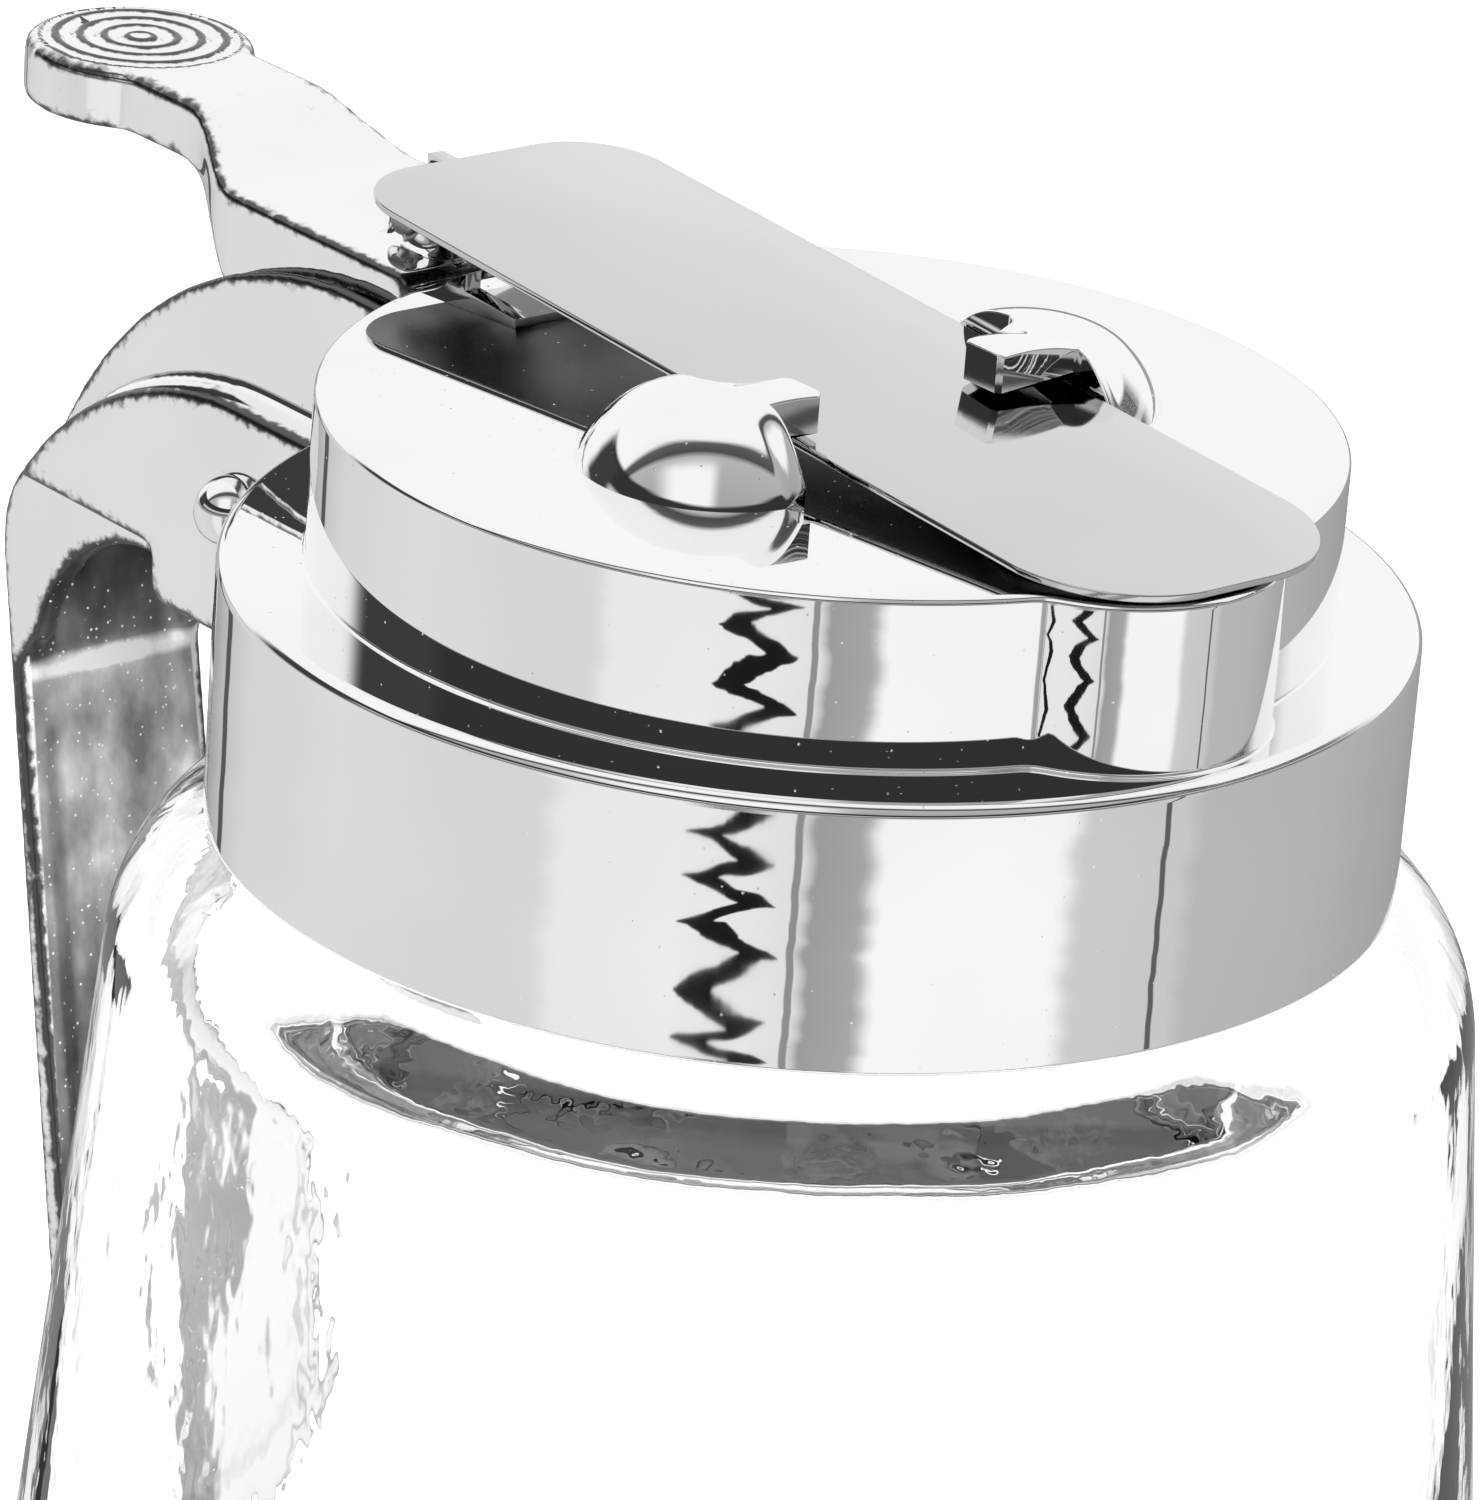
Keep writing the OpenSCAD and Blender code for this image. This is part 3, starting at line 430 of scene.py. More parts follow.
def to_mesh(bm, name, sharp=35):
    """Mesh with smooth faces, and edges above the angle left sharp."""
    bmesh.ops.remove_doubles(bm, verts=bm.verts, dist=1e-7)
    bmesh.ops.recalc_face_normals(bm, faces=bm.faces)
    limit = math.radians(sharp)
    for face in bm.faces:
        face.smooth = True
    for edge in bm.edges:
        edge.smooth = len(edge.link_faces) == 2 and edge.calc_face_angle(0) < limit
    mesh = bpy.data.meshes.new(name)
    bm.to_mesh(mesh)
    bm.free()
    return mesh


# Pieces
WELD = 1e-6
FLAT_ANGLE = 0.4
BEVEL_ANGLE = 32
BEVEL_SEGMENTS = 3
SMOOTH_FACTOR = 0.5

# The lever's arm: how far its sharp inside reaches, and the thumb pad's rings, in millimetres
ARM_INSIDE_TOP = 2.6
ARM_INSIDE_Y = 1.1
PAD_SKIN = 0.6
PAD_LOW = 0.15
RING_COUNT = 4
RING_RISE = 0.4

# The spring's rear leg: where it starts and how steeply it is bent down
LEG_X = HINGE_X - 1
LEG_Y = 2.9
LEG_SLOPE = 0.5


def add_piece(name, mesh, body, material, nodes):
    piece = bpy.data.objects.new(name, mesh)
    bpy.context.scene.collection.objects.link(piece)
    mesh.materials.clear()
    mesh.materials.append(material)
    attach(piece, body)
    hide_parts(*nodes)
    return piece


def body_of(node):
    return NODES[node]["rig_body"]


def apply_modifiers(piece):
    graph = bpy.context.evaluated_depsgraph_get()
    mesh = bpy.data.meshes.new_from_object(piece.evaluated_get(graph))
    piece.modifiers.clear()
    piece.data = mesh


def rounded(node, material, width):
    """A CAD node's shape with its sharp edges rounded."""
    bm = bmesh.new()
    bm.from_mesh(NODES[node].data)
    bmesh.ops.remove_doubles(bm, verts=bm.verts, dist=WELD)
    flat = math.radians(FLAT_ANGLE)
    bmesh.ops.dissolve_limit(bm, angle_limit=flat, verts=bm.verts, edges=bm.edges)
    bmesh.ops.recalc_face_normals(bm, faces=bm.faces)
    mesh = bpy.data.meshes.new(node + "_looks")
    bm.to_mesh(mesh)
    bm.free()
    mesh.shade_smooth()
    piece = add_piece(node + "_looks", mesh, body_of(node), material, [node])
    bevel = piece.modifiers.new("edges", "BEVEL")
    bevel.width = width * MM
    bevel.segments = BEVEL_SEGMENTS
    bevel.limit_method = "ANGLE"
    bevel.angle_limit = math.radians(BEVEL_ANGLE)
    bevel.harden_normals = True
    bevel.miter_outer = "MITER_ARC"
    apply_modifiers(piece)


def cast(node, material, voxel, passes, share=None, shape=None):
    """A CAD node's shape as a soft casting.

    It gets an even skin, which is smoothed by a share and then moved, both point by point.
    """
    mesh = NODES[node].data.copy()
    piece = add_piece(node + "_looks", mesh, body_of(node), material, [node])
    skin = piece.modifiers.new("skin", "REMESH")
    skin.mode = "VOXEL"
    skin.voxel_size = voxel * MM
    skin.use_smooth_shade = True
    apply_modifiers(piece)
    soft = piece.modifiers.new("soft", "SMOOTH")
    soft.factor = SMOOTH_FACTOR
    soft.iterations = passes
    if share:
        group = piece.vertex_groups.new(name="soft")
        for vert in piece.data.vertices:
            group.add([vert.index], share(*(vert.co / MM)), "REPLACE")
        soft.vertex_group = "soft"
    apply_modifiers(piece)
    piece.vertex_groups.clear()
    if shape:
        for vert in piece.data.vertices:
            vert.co = shape(*(vert.co / MM)) * MM
    piece.data.shade_smooth()


def lever_share(x, y, z):
    """How far the lever's skin is smoothed: not inside the arm, where the spring moves."""
    if x < ARM_REAR or abs(y) >= ARM_IN + ARM_INSIDE_Y:
        return 1.0
    return min(1, max(0, z - ARM_TOP + ARM_INSIDE_TOP))


def pad_rings(x, y, z):
    """The thumb pad's four soft rings."""
    r = math.hypot(x - PAD_X, y)
    if z > PAD_TOP - PAD_SKIN and r < PAD_RINGS_R:
        wave = 0.5 - 0.5 * math.cos(2 * math.pi * (r / PAD_RINGS_R) * RING_COUNT)
        z = PAD_TOP - PAD_LOW + RING_RISE * wave
    return Vector((x, y, z))


def make_spring():
    """The return spring with round wire, its rear leg bent down clear of the swung lever."""
    bm = bmesh.new()
    bm.from_mesh(NODES["return_spring"].data)
    bmesh.ops.remove_doubles(bm, verts=bm.verts, dist=WELD)
    bmesh.ops.join_triangles(
        bm, faces=bm.faces, angle_face_threshold=0.6, angle_shape_threshold=0.7)
    for vert in bm.verts:
        x, y, z = vert.co / MM
        if y > LEG_Y and x < LEG_X and z > HINGE_Z:
            vert.co.z -= LEG_SLOPE * (LEG_X - x) * MM
    mesh = bpy.data.meshes.new("return_spring_looks")
    bm.to_mesh(mesh)
    bm.free()
    mesh.shade_smooth()
    piece = add_piece(
        "return_spring_looks", mesh, "cap", PLAIN_STEEL, ["return_spring"])
    round_wire = piece.modifiers.new("wire", "SUBSURF")
    round_wire.levels = round_wire.render_levels = 1
    apply_modifiers(piece)


# Cap: one skin of rings round the axis, with the nose's bulge in the turret's rings
TO_TURRET = TURRET_R + NOSE_FILLET
TO_NOSE = NOSE_R + NOSE_FILLET
FILLET_X = (TO_TURRET ** 2 - TO_NOSE ** 2 + NOSE_X ** 2) / (2 * NOSE_X)
FILLET_Y = math.sqrt(TO_TURRET ** 2 - FILLET_X ** 2)
TURRET_END = math.atan2(FILLET_Y, FILLET_X)

# Roundings of the cap's edges, and the short straight runs beside them, in millimetres
EDGE_R = 0.45
FOOT_R = 0.2
RIM_R = 0.8
HEM_R = 0.35
LIP_R = 0.15
HEM_IN = 0.1
SEAM = 0.05
LEDGE_SEAM = 0.03


def ray_circle(angle, cx, cy, r, far):
    """Distance from the axis to a circle along a direction in plan."""
    along = cx * math.cos(angle) + cy * math.sin(angle)
    rest = r * r - (cx * cx + cy * cy - along * along)
    return along + (1 if far else -1) * math.sqrt(max(rest, 0))


def outline_r(angle, inset):
    """Radius of the turret's outline with its nose, moved in by the inset."""
    angle = abs(math.remainder(angle, 2 * math.pi))
    if angle >= TURRET_END:
        return TURRET_R - inset
    share = (NOSE_R - inset) / TO_NOSE
    nose_end = math.atan2(share * FILLET_Y, NOSE_X + share * (FILLET_X - NOSE_X))
    if angle <= nose_end:
        return ray_circle(angle, NOSE_X, 0, NOSE_R - inset, True)
    return ray_circle(angle, FILLET_X, FILLET_Y, NOSE_FILLET + inset, False)


# Directions round the cap: every half degree at the nose, every degree elsewhere
CAP_ANGLES = [math.radians(a * 0.5) for a in range(-60, 60)]
CAP_ANGLES += [math.radians(a) for a in range(30, 330)]


def cap_ring(bm, z, inset=None, radius=None):
    """A ring along the turret's outline moved in by the inset, or round at the radius."""
    points = []
    for angle in CAP_ANGLES:
        r = radius if inset is None else outline_r(angle, inset)
        points.append((r * math.cos(angle), r * math.sin(angle), z))
    return add_ring(bm, points)


def hole_ring(bm, r, z):
    """A ring round the pour hole."""
    return add_ring(bm, [(NOSE_X + x, y, z) for x, y in arc(0, 0, r, 0, 360, 72)[:-1]])


def make_cap():
    bm = bmesh.new()
    low = COLLAR_LOW
    rings = [cap_ring(bm, TOP, inset=EDGE_R + SEAM)]
    edge = arc(EDGE_R, TOP - EDGE_R, EDGE_R, 90, 180, 6)
    rings += [cap_ring(bm, z, inset=d) for d, z in edge]
    rings.append(cap_ring(bm, TOP - EDGE_R - SEAM, inset=0))
    rings.append(cap_ring(bm, LEDGE + FOOT_R + SEAM, inset=0))
    foot = arc(-FOOT_R, LEDGE + FOOT_R, FOOT_R, 0, -90, 4)
    rings += [cap_ring(bm, z, inset=d) for d, z in foot]
    rings.append(cap_ring(bm, LEDGE, inset=-FOOT_R - LEDGE_SEAM))
    rings.append(cap_ring(bm, LEDGE, radius=COLLAR_R - RIM_R - LEDGE_SEAM))
    rim = arc(COLLAR_R - RIM_R, LEDGE - RIM_R, RIM_R, 90, 0, 10)
    rings += [cap_ring(bm, z, radius=r) for r, z in rim]
    rings.append(cap_ring(bm, LEDGE - RIM_R - SEAM, radius=COLLAR_R))
    rings.append(cap_ring(bm, low + HEM_R + SEAM, radius=COLLAR_R))
    hem = arc(COLLAR_R - HEM_R, low + HEM_R, HEM_R, 0, -90, 4)
    rings += [cap_ring(bm, z, radius=r) for r, z in hem]
    rings.append(cap_ring(bm, low, radius=COLLAR_R - HEM_R - SEAM))
    rings.append(cap_ring(bm, low, radius=COLLAR_IN_R + HEM_IN))
    rings.append(cap_ring(bm, low + HEM_IN, radius=COLLAR_IN_R))
    rings.append(cap_ring(bm, LEDGE_UNDER, radius=COLLAR_IN_R))
    rings.append(cap_ring(bm, LEDGE_UNDER, inset=TURRET_WALL))
    rings.append(cap_ring(bm, TOP - TURRET_WALL, inset=TURRET_WALL))
    for first, second in zip(rings, rings[1:]):
        bridge(bm, first, second)
    hole = [hole_ring(bm, SEAT_HOLE_R + LIP_R + SEAM, TOP)]
    lip = arc(SEAT_HOLE_R + LIP_R, TOP - LIP_R, LIP_R, 90, 180, 4)
    hole += [hole_ring(bm, r, z) for r, z in lip]
    hole.append(hole_ring(bm, SEAT_HOLE_R, TOP - TURRET_WALL))
    for first, second in zip(hole, hole[1:]):
        bridge(bm, first, second)
    fill(bm, rings[0], hole[0])
    fill(bm, rings[-1], hole[-1])
    mesh = to_mesh(bm, "cap_shell_looks")
    add_piece("cap_shell_looks", mesh, "cap", CHROME, ["cap_shell"])


# Guides: a plate shaped as a height field over its plan, in millimetres. Each fall of the finger
# grows with the square of the way past its start
GUIDE_EDGE_R = 0.15
FLAT_BLEND = 1.6
FINGER_BLEND = 0.5
FINGER_RISE = 0.05
BACK_START, BACK_FALL = 1.2, 0.03
SLOPE_START, SLOPE_FALL = 5.6, 0.16
SIDE_START, SIDE_FALL = 7.4, 0.25
ROOT_FALL = 0.8
FINGER_SPAN = (1.5, 10)
FACE_GAP = 0.01
CENTRE_R = 0.7
CENTRE_SHARE = 0.4
RIM_RUN = 0.35
EDGE_SHARE = 0.45


def inside_distance(x, y, chain):
    """Distance in plan from a point to an open chain of segments."""
    best = 1e9
    for (ax, ay), (bx, by) in zip(chain, chain[1:]):
        dx, dy = bx - ax, by - ay
        t = ((x - ax) * dx + (y - ay) * dy) / (dx * dx + dy * dy)
        t = min(1, max(0, t))
        best = min(best, math.hypot(x - ax - t * dx, y - ay - t * dy))
    return best


def split(a, b, n):
    """The start points of n equal parts of a segment."""
    return [(a[0] + (b[0] - a[0]) * i / n, a[1] + (b[1] - a[1]) * i / n) for i in range(n)]


def smooth_max(a, b, k):
    """The larger of two values, blended where they differ by less than k."""
    h = max(k - abs(a - b), 0) / k
    return max(a, b) + h * h * k / 4


def make_guide(node, side, reach):
    """A boss with a flat face beside the blade, and a finger over the blade's edge."""
    cut = math.sqrt(DOME_R ** 2 - (DOME_Y - GUIDE_FACE) ** 2)
    tip = GUIDE_FACE - reach
    left, right = (DOME_X - cut, GUIDE_FACE), (DOME_X + cut, GUIDE_FACE)
    corners = [
        left, (1.6, GUIDE_FACE), (2.6, GUIDE_FACE - 0.45), (4.8, tip + 0.4), (5.15, tip),
        (7.85, tip), (8.15, tip + 0.3), (7.75, GUIDE_FACE), right,
    ]
    parts = [26, 6, 18, 4, 10, 4, 18, 26]
    outline = []
    for a, b, n in zip(corners, corners[1:], parts):
        outline += split(a, b, n)
    outline.append(right)
    start = math.degrees(math.atan2(GUIDE_FACE - DOME_Y, cut))
    outline += arc(DOME_X, DOME_Y, DOME_R, start, 180 - start, 120)[1:-1]

    def height(x, y):
        share = ((x - DOME_X) ** 2 + (y - DOME_Y) ** 2) / DOME_R ** 2
        ball = math.sqrt(max(DOME_BALL ** 2 - share * DOME_R ** 2, 0)) - DOME_BALL + DOME_CREST
        dome = -smooth_max(-ball, -DOME_FLAT, FLAT_BLEND)
        finger = DOME_H - BACK_FALL * max(0.0, y - tip - BACK_START) ** 2
        finger -= SLOPE_FALL * max(0.0, SLOPE_START - x) ** 2
        finger -= ROOT_FALL * max(0.0, y - GUIDE_FACE) ** 2
        finger -= SIDE_FALL * max(0.0, x - SIDE_START) ** 2
        return min(smooth_max(dome, finger, FINGER_BLEND), DOME_H + FINGER_RISE)

    def top(x, y):
        z = height(x, y)
        d = inside_distance(x, y, corners)
        if d < GUIDE_EDGE_R:
            z -= GUIDE_EDGE_R - math.sqrt(max(GUIDE_EDGE_R ** 2 - (GUIDE_EDGE_R - d) ** 2, 0))
        return max(z, 0.0)

    def low(x, y):
        over_blade = y < GUIDE_FACE - FACE_GAP and FINGER_SPAN[0] < x < FINGER_SPAN[1]
        return FINGER_LOW if over_blade else 0.0

    bm = bmesh.new()

    def place(x, y, z):
        return bm.verts.new(Vector((x, side * y, TOP + z)) * MM)

    def drawn_in(keep):
        """The outline drawn towards the dome's centre, by the share kept at each distance."""
        ring = []
        for x, y in outline:
            part = keep(math.hypot(x - DOME_X, y - DOME_Y))
            ring.append((DOME_X + (x - DOME_X) * part, DOME_Y + (y - DOME_Y) * part))
        return ring

    def inner_keep(share):
        return lambda run: (
            min(share, 1 - RIM_RUN / run) if run > CENTRE_R else share * CENTRE_SHARE)

    def edge_keep(inset):
        return lambda run: max(1 - inset / run, EDGE_SHARE)

    shares = [math.sin(math.radians(90 * i / 34)) for i in range(1, 33)]
    insets = [0.3, GUIDE_EDGE_R + 0.03]
    insets += [GUIDE_EDGE_R * part for part in (1, 0.7, 0.4, 0.18, 0.05, 0)]
    rings = [drawn_in(inner_keep(share)) for share in shares]
    rings += [drawn_in(edge_keep(inset)) for inset in insets]
    upper = [[place(x, y, top(x, y)) for x, y in ring] for ring in rings]
    for first, second in zip(upper, upper[1:]):
        bridge(bm, first, second)
    crown = place(DOME_X, DOME_Y, top(DOME_X, DOME_Y))
    count = len(outline)
    for i in range(count):
        bm.faces.new((crown, upper[0][i], upper[0][(i + 1) % count]))
    under = [place(x, y, low(x, y)) for x, y in outline]
    back_edge = [place(x, max(y, GUIDE_FACE), low(x, y)) for x, y in outline]
    root = [place(x, max(y, GUIDE_FACE), 0) for x, y in outline]
    bridge(bm, upper[-1], under)
    bridge(bm, under, back_edge)
    bridge(bm, back_edge, root)
    bm.faces.new(root)
    mesh = to_mesh(bm, node + "_looks", sharp=38)
    add_piece(node + "_looks", mesh, "cap", GUIDE_CHROME, [node])


# Jar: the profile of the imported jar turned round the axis, with the thread and the glass's ripples
LINER_WALL = 1.7
THREAD_GAP = 0.45
THREAD_H = 1.2
THREAD_PITCH = 4
THREAD_Z = JAR_H - 1.9 - THREAD_PITCH
THREAD_HALF = 0.9
THREAD_FLANK = 0.5
THREAD_ENDS = 16
NECK_R = COLLAR_IN_R - LINER_WALL - THREAD_GAP - THREAD_H
NECK_WALL = 3.8
NECK_ROOT = [(0.35, 0.1), (0, 0.8)]
MOUTH_EDGE_R = 1
GLASS_WALL = 3.6
SHOULDER_TOP = COLLAR_LOW - 0.1
SHOULDER_R = 9.5
SHOULDER_X = NECK_R + 1
SHOULDER_Z = SHOULDER_TOP - SHOULDER_R
FLARE = 5.5
HEEL_R = 7
GLASS_FOOT = 7
AXIS_R = 0.5
PATH_STEP = 1.0
PATH_POINTS = 72

# Inside of the shoulder: a nearly flat ceiling at the thick sides, an even wall at the thin ones
CEILING = 97.8
CEILING_IN_R = 30.4
CEILING_BORE = [(0, 6.5), (0.3, 5.2)]
CEILING_START = [(-0.3, 0.4), (0.4, 0)]
CEILING_END_R = 3.0
CEILING_END_DROP = 3.9
CEILING_END_FROM = 76
THIN_ROOT_R = 2
THIN_ROOT_TO = 250
THICK_TO = 77
THICK_FADE = 34

# Ripples: height, bumps per millimetre and place in the noise, and how they fade out at the ends
RIPPLES = ((0.16, 0.075, 3), (0.05, 0.25, 9))
RIPPLE_INSIDE = 20
RIPPLE_STRETCH = 0.55
RIPPLE_OUT_SHARE = 0.6
RIPPLE_IN_SHARE = 1.2
RIPPLE_SINK = 0.1
CALM_TOP = (1.5, 5)
CALM_FOOT = (1, 6)
JAR_SIDES = 252


def spaced(points, step):
    """The same path with points no further apart than the step."""
    path = [points[0]]
    for a, b in zip(points, points[1:]):
        run = math.hypot(b[0] - a[0], b[1] - a[1])
        n = max(1, math.ceil(run / step))
        for i in range(1, n + 1):
            path.append((a[0] + (b[0] - a[0]) * i / n, a[1] + (b[1] - a[1]) * i / n))
    return path


def resampled(points, count):
    """The same path as evenly spaced points."""
    runs = [0]
    for a, b in zip(points, points[1:]):
        runs.append(runs[-1] + math.hypot(b[0] - a[0], b[1] - a[1]))
    path, k = [], 0
    for i in range(count):
        want = runs[-1] * i / (count - 1)
        while k < len(points) - 2 and runs[k + 1] < want:
            k += 1
        t = (want - runs[k]) / (runs[k + 1] - runs[k])
        path.append(tuple(p + (q - p) * t for p, q in zip(points[k], points[k + 1])))
    return path


def jar_profile():
    """Outer and inner path of the glass, each point for its thick and its thin sides."""
    tan, cos, sin = (f(math.radians(FLARE)) for f in (math.tan, math.cos, math.sin))
    flare_x = SHOULDER_X + SHOULDER_R * cos
    flare_z = SHOULDER_Z + SHOULDER_R * sin
    heel_z = HEEL_R * (1 + sin)
    heel_cx = flare_x + (flare_z - heel_z) * tan - HEEL_R * cos
    inner_r = HEEL_R + 1
    inner_z = GLASS_FOOT + inner_r * (1 + sin)
    inner_cx = flare_x + (flare_z - inner_z) * tan - GLASS_WALL / cos - inner_r * cos
    bore_r = NECK_R - NECK_WALL
    mouth_z = JAR_H - MOUTH_EDGE_R

    outer = [(AXIS_R, 0)] + arc(heel_cx, HEEL_R, HEEL_R, -90, FLARE, 20)
    outer += arc(SHOULDER_X, SHOULDER_Z, SHOULDER_R, FLARE, 90, 40)
    outer += [(NECK_R + dx, SHOULDER_TOP + dz) for dx, dz in NECK_ROOT] + [(NECK_R, mouth_z)]
    outer += arc(NECK_R - MOUTH_EDGE_R, mouth_z, MOUTH_EDGE_R, 0, 90, 6)
    mouth = arc(bore_r + MOUTH_EDGE_R, mouth_z, MOUTH_EDGE_R, 90, 180, 6)

    thick = [mouth[-1]] + [(bore_r + dx, CEILING + dz) for dx, dz in CEILING_BORE]
    thick += [(CEILING_IN_R + dx, CEILING + dz) for dx, dz in CEILING_START]
    end_x = flare_x - GLASS_WALL / cos - CEILING_END_R
    thick += arc(end_x, CEILING - CEILING_END_DROP, CEILING_END_R, CEILING_END_FROM, FLARE, 16)
    root_z = SHOULDER_TOP - GLASS_WALL + THIN_ROOT_R
    thin = [mouth[-1]] + arc(bore_r + THIN_ROOT_R, root_z, THIN_ROOT_R, 180, THIN_ROOT_TO, 6)
    thin += arc(SHOULDER_X, SHOULDER_Z, SHOULDER_R - GLASS_WALL, 90, FLARE, 28)
    thick, thin = resampled(thick, PATH_POINTS), resampled(thin, PATH_POINTS)

    body = [thick[-1]] + arc(inner_cx, GLASS_FOOT + inner_r, inner_r, FLARE, -90, 16)
    body = spaced(body + [(AXIS_R, GLASS_FOOT)], PATH_STEP)[1:]
    mouth = spaced(mouth, PATH_STEP)[:-1]
    inner = [(p, p) for p in mouth] + list(zip(thick, thin)) + [(p, p) for p in body]
    return [(p, p) for p in spaced(outer, PATH_STEP)], inner


def thread_rise(angle, z):
    """Height of the thread above the neck, one turn of ridge."""
    turn = (angle % (2 * math.pi)) / (2 * math.pi)
    off = abs(z - THREAD_Z - THREAD_PITCH * turn)
    ends = min(1, turn * THREAD_ENDS, (1 - turn) * THREAD_ENDS)
    return THREAD_H * ends * min(1, max(0, (THREAD_HALF - off) / THREAD_FLANK))


def glass_share(angle):
    """1 at the jar's two thick sides, towards and away from the camera, 0 at its thin ones."""
    off = abs(math.degrees(math.asin(math.sin(angle + math.radians(CAMERA_TURN)))))
    t = min(1, max(0, (THICK_TO - off) / THICK_FADE))
    return t * t * (3 - 2 * t)


def ripple(x, y, z, scale, seed):
    return noise.noise(Vector((x * scale + seed, y * scale, z * scale * RIPPLE_STRETCH)))


def wave(x, y, z, inside):
    """How far the glass's ripples move its skin outwards, none at the neck and the foot."""
    calm = min(1, max(0, (SHOULDER_TOP - CALM_TOP[0] - z) / CALM_TOP[1]))
    calm *= min(1, max(0, (z - CALM_FOOT[0]) / CALM_FOOT[1]))
    rise = sum(h * ripple(x, y, z, scale, seed + RIPPLE_INSIDE * inside)
               for h, scale, seed in RIPPLES)
    if inside:
        return calm * rise * RIPPLE_IN_SHARE
    return calm * rise * RIPPLE_OUT_SHARE - RIPPLE_SINK * calm


def make_jar():
    bm = bmesh.new()
    loops = []
    for inside, path in enumerate(jar_profile()):
        for i, pair in enumerate(path):
            ahead, behind = path[min(i + 1, len(path) - 1)][0], path[max(i - 1, 0)][0]
            tx, tz = ahead[0] - behind[0], ahead[1] - behind[1]
            run = math.hypot(tx, tz) or 1
            nx, nz = tz / run, -tx / run
            ring = []
            for k in range(JAR_SIDES):
                angle = 2 * math.pi * k / JAR_SIDES
                share = glass_share(angle)
                r, z = (thin + (thick - thin) * share for thick, thin in zip(*pair))
                off = wave(r * math.cos(angle), r * math.sin(angle), z, inside)
                rr = r + nx * off
                if not inside and z > SHOULDER_TOP + 1:
                    rr += thread_rise(angle, z)
                ring.append((rr * math.cos(angle), rr * math.sin(angle), z + nz * off))
            loops.append(add_ring(bm, ring))
    for first, second in zip(loops, loops[1:]):
        bridge(bm, first, second)
    bm.faces.new(loops[0])
    bm.faces.new(loops[-1])
    mesh = to_mesh(bm, "glass_jar_looks", sharp=60)
    add_piece("glass_jar_looks", mesh, "jar", GLASS, ["glass_jar"])


# Studio, seen only in reflections and painted by direction, in degrees: from the camera's side,
# rightwards positive, up from the level, and over the top from the camera's side.
# A pair is the way of a soft edge, a list is brightness by direction
TOWARD_AT, RIGHT_AT = math.radians(-CAMERA_TURN), math.radians(90 - CAMERA_TURN)
CAMERA_SIDE = (math.cos(TOWARD_AT), math.sin(TOWARD_AT), 0)
CAMERA_RIGHT = (math.cos(RIGHT_AT), math.sin(RIGHT_AT), 0)
HORIZON = (-4, 1)
LOW_SIDES = [
    (-180, 0.30), (-160, 0.40), (-146, 0.60), (-134, 0.72), (-100, 0.78), (-60, 0.72),
    (-50, 0.74), (-46, 0.88), (-24, 0.90), (-8, 0.86), (1, 0.80), (2, 0.36), (12, 0.42), (15, 1.0),
    (50, 1.0), (54, 0.66), (76, 0.62), (80, 0.52), (110, 0.50), (150, 0.40), (180, 0.30),
]
TORN = 5.0
ZIGZAG_AT = 18.5
ZIGZAG_TOOTH = 0.17
ZIGZAG_STEEP = 66
ZIGZAG_EDGE = (3.9, 3.3)
ZIGZAG_TONE = 0.012

# Dark bars low down: where, half width, brightness
BARS = ((-0.5, 0.9, 0.30), (72, 0.8, 0.12), (-148, 2.2, 0.10))
BAR_TORN = 0.25
BAR_SOFT = 0.6
OVERHEAD = [(0, 0.34), (66, 0.50), (71, 0.08), (80, 0.12), (86, 0.95), (94, 1.0), (180, 1.0)]
LAMP_ACROSS = ((-0.72, -0.42), (0.18, -0.02))
LAMP_OVER = ((20, 29), (68, 54))
ROOM = [
    (-90, 0.3), (3, 0.35), (5, 0.10), (7.5, 0.10), (9, 0.6), (12.5, 0.6), (14.5, 0.035),
    (90, 0.035),
]
ROOM_TOP = (28, 25)
ROOM_SIDE = (132, 112)
STREAK_EDGE = (0.04, 0.08)
STREAK_LOW = (13, 15)
STREAK_SIDE = (66, 74)
STREAK_TONE = 0.7
WALL_SIDES = ((-128, -118), (-88, -96))
WALL_LIFT = ((3, 6), (27, 22))
WALL_TONE = 0.05
ROOM_LIGHT = 0.55


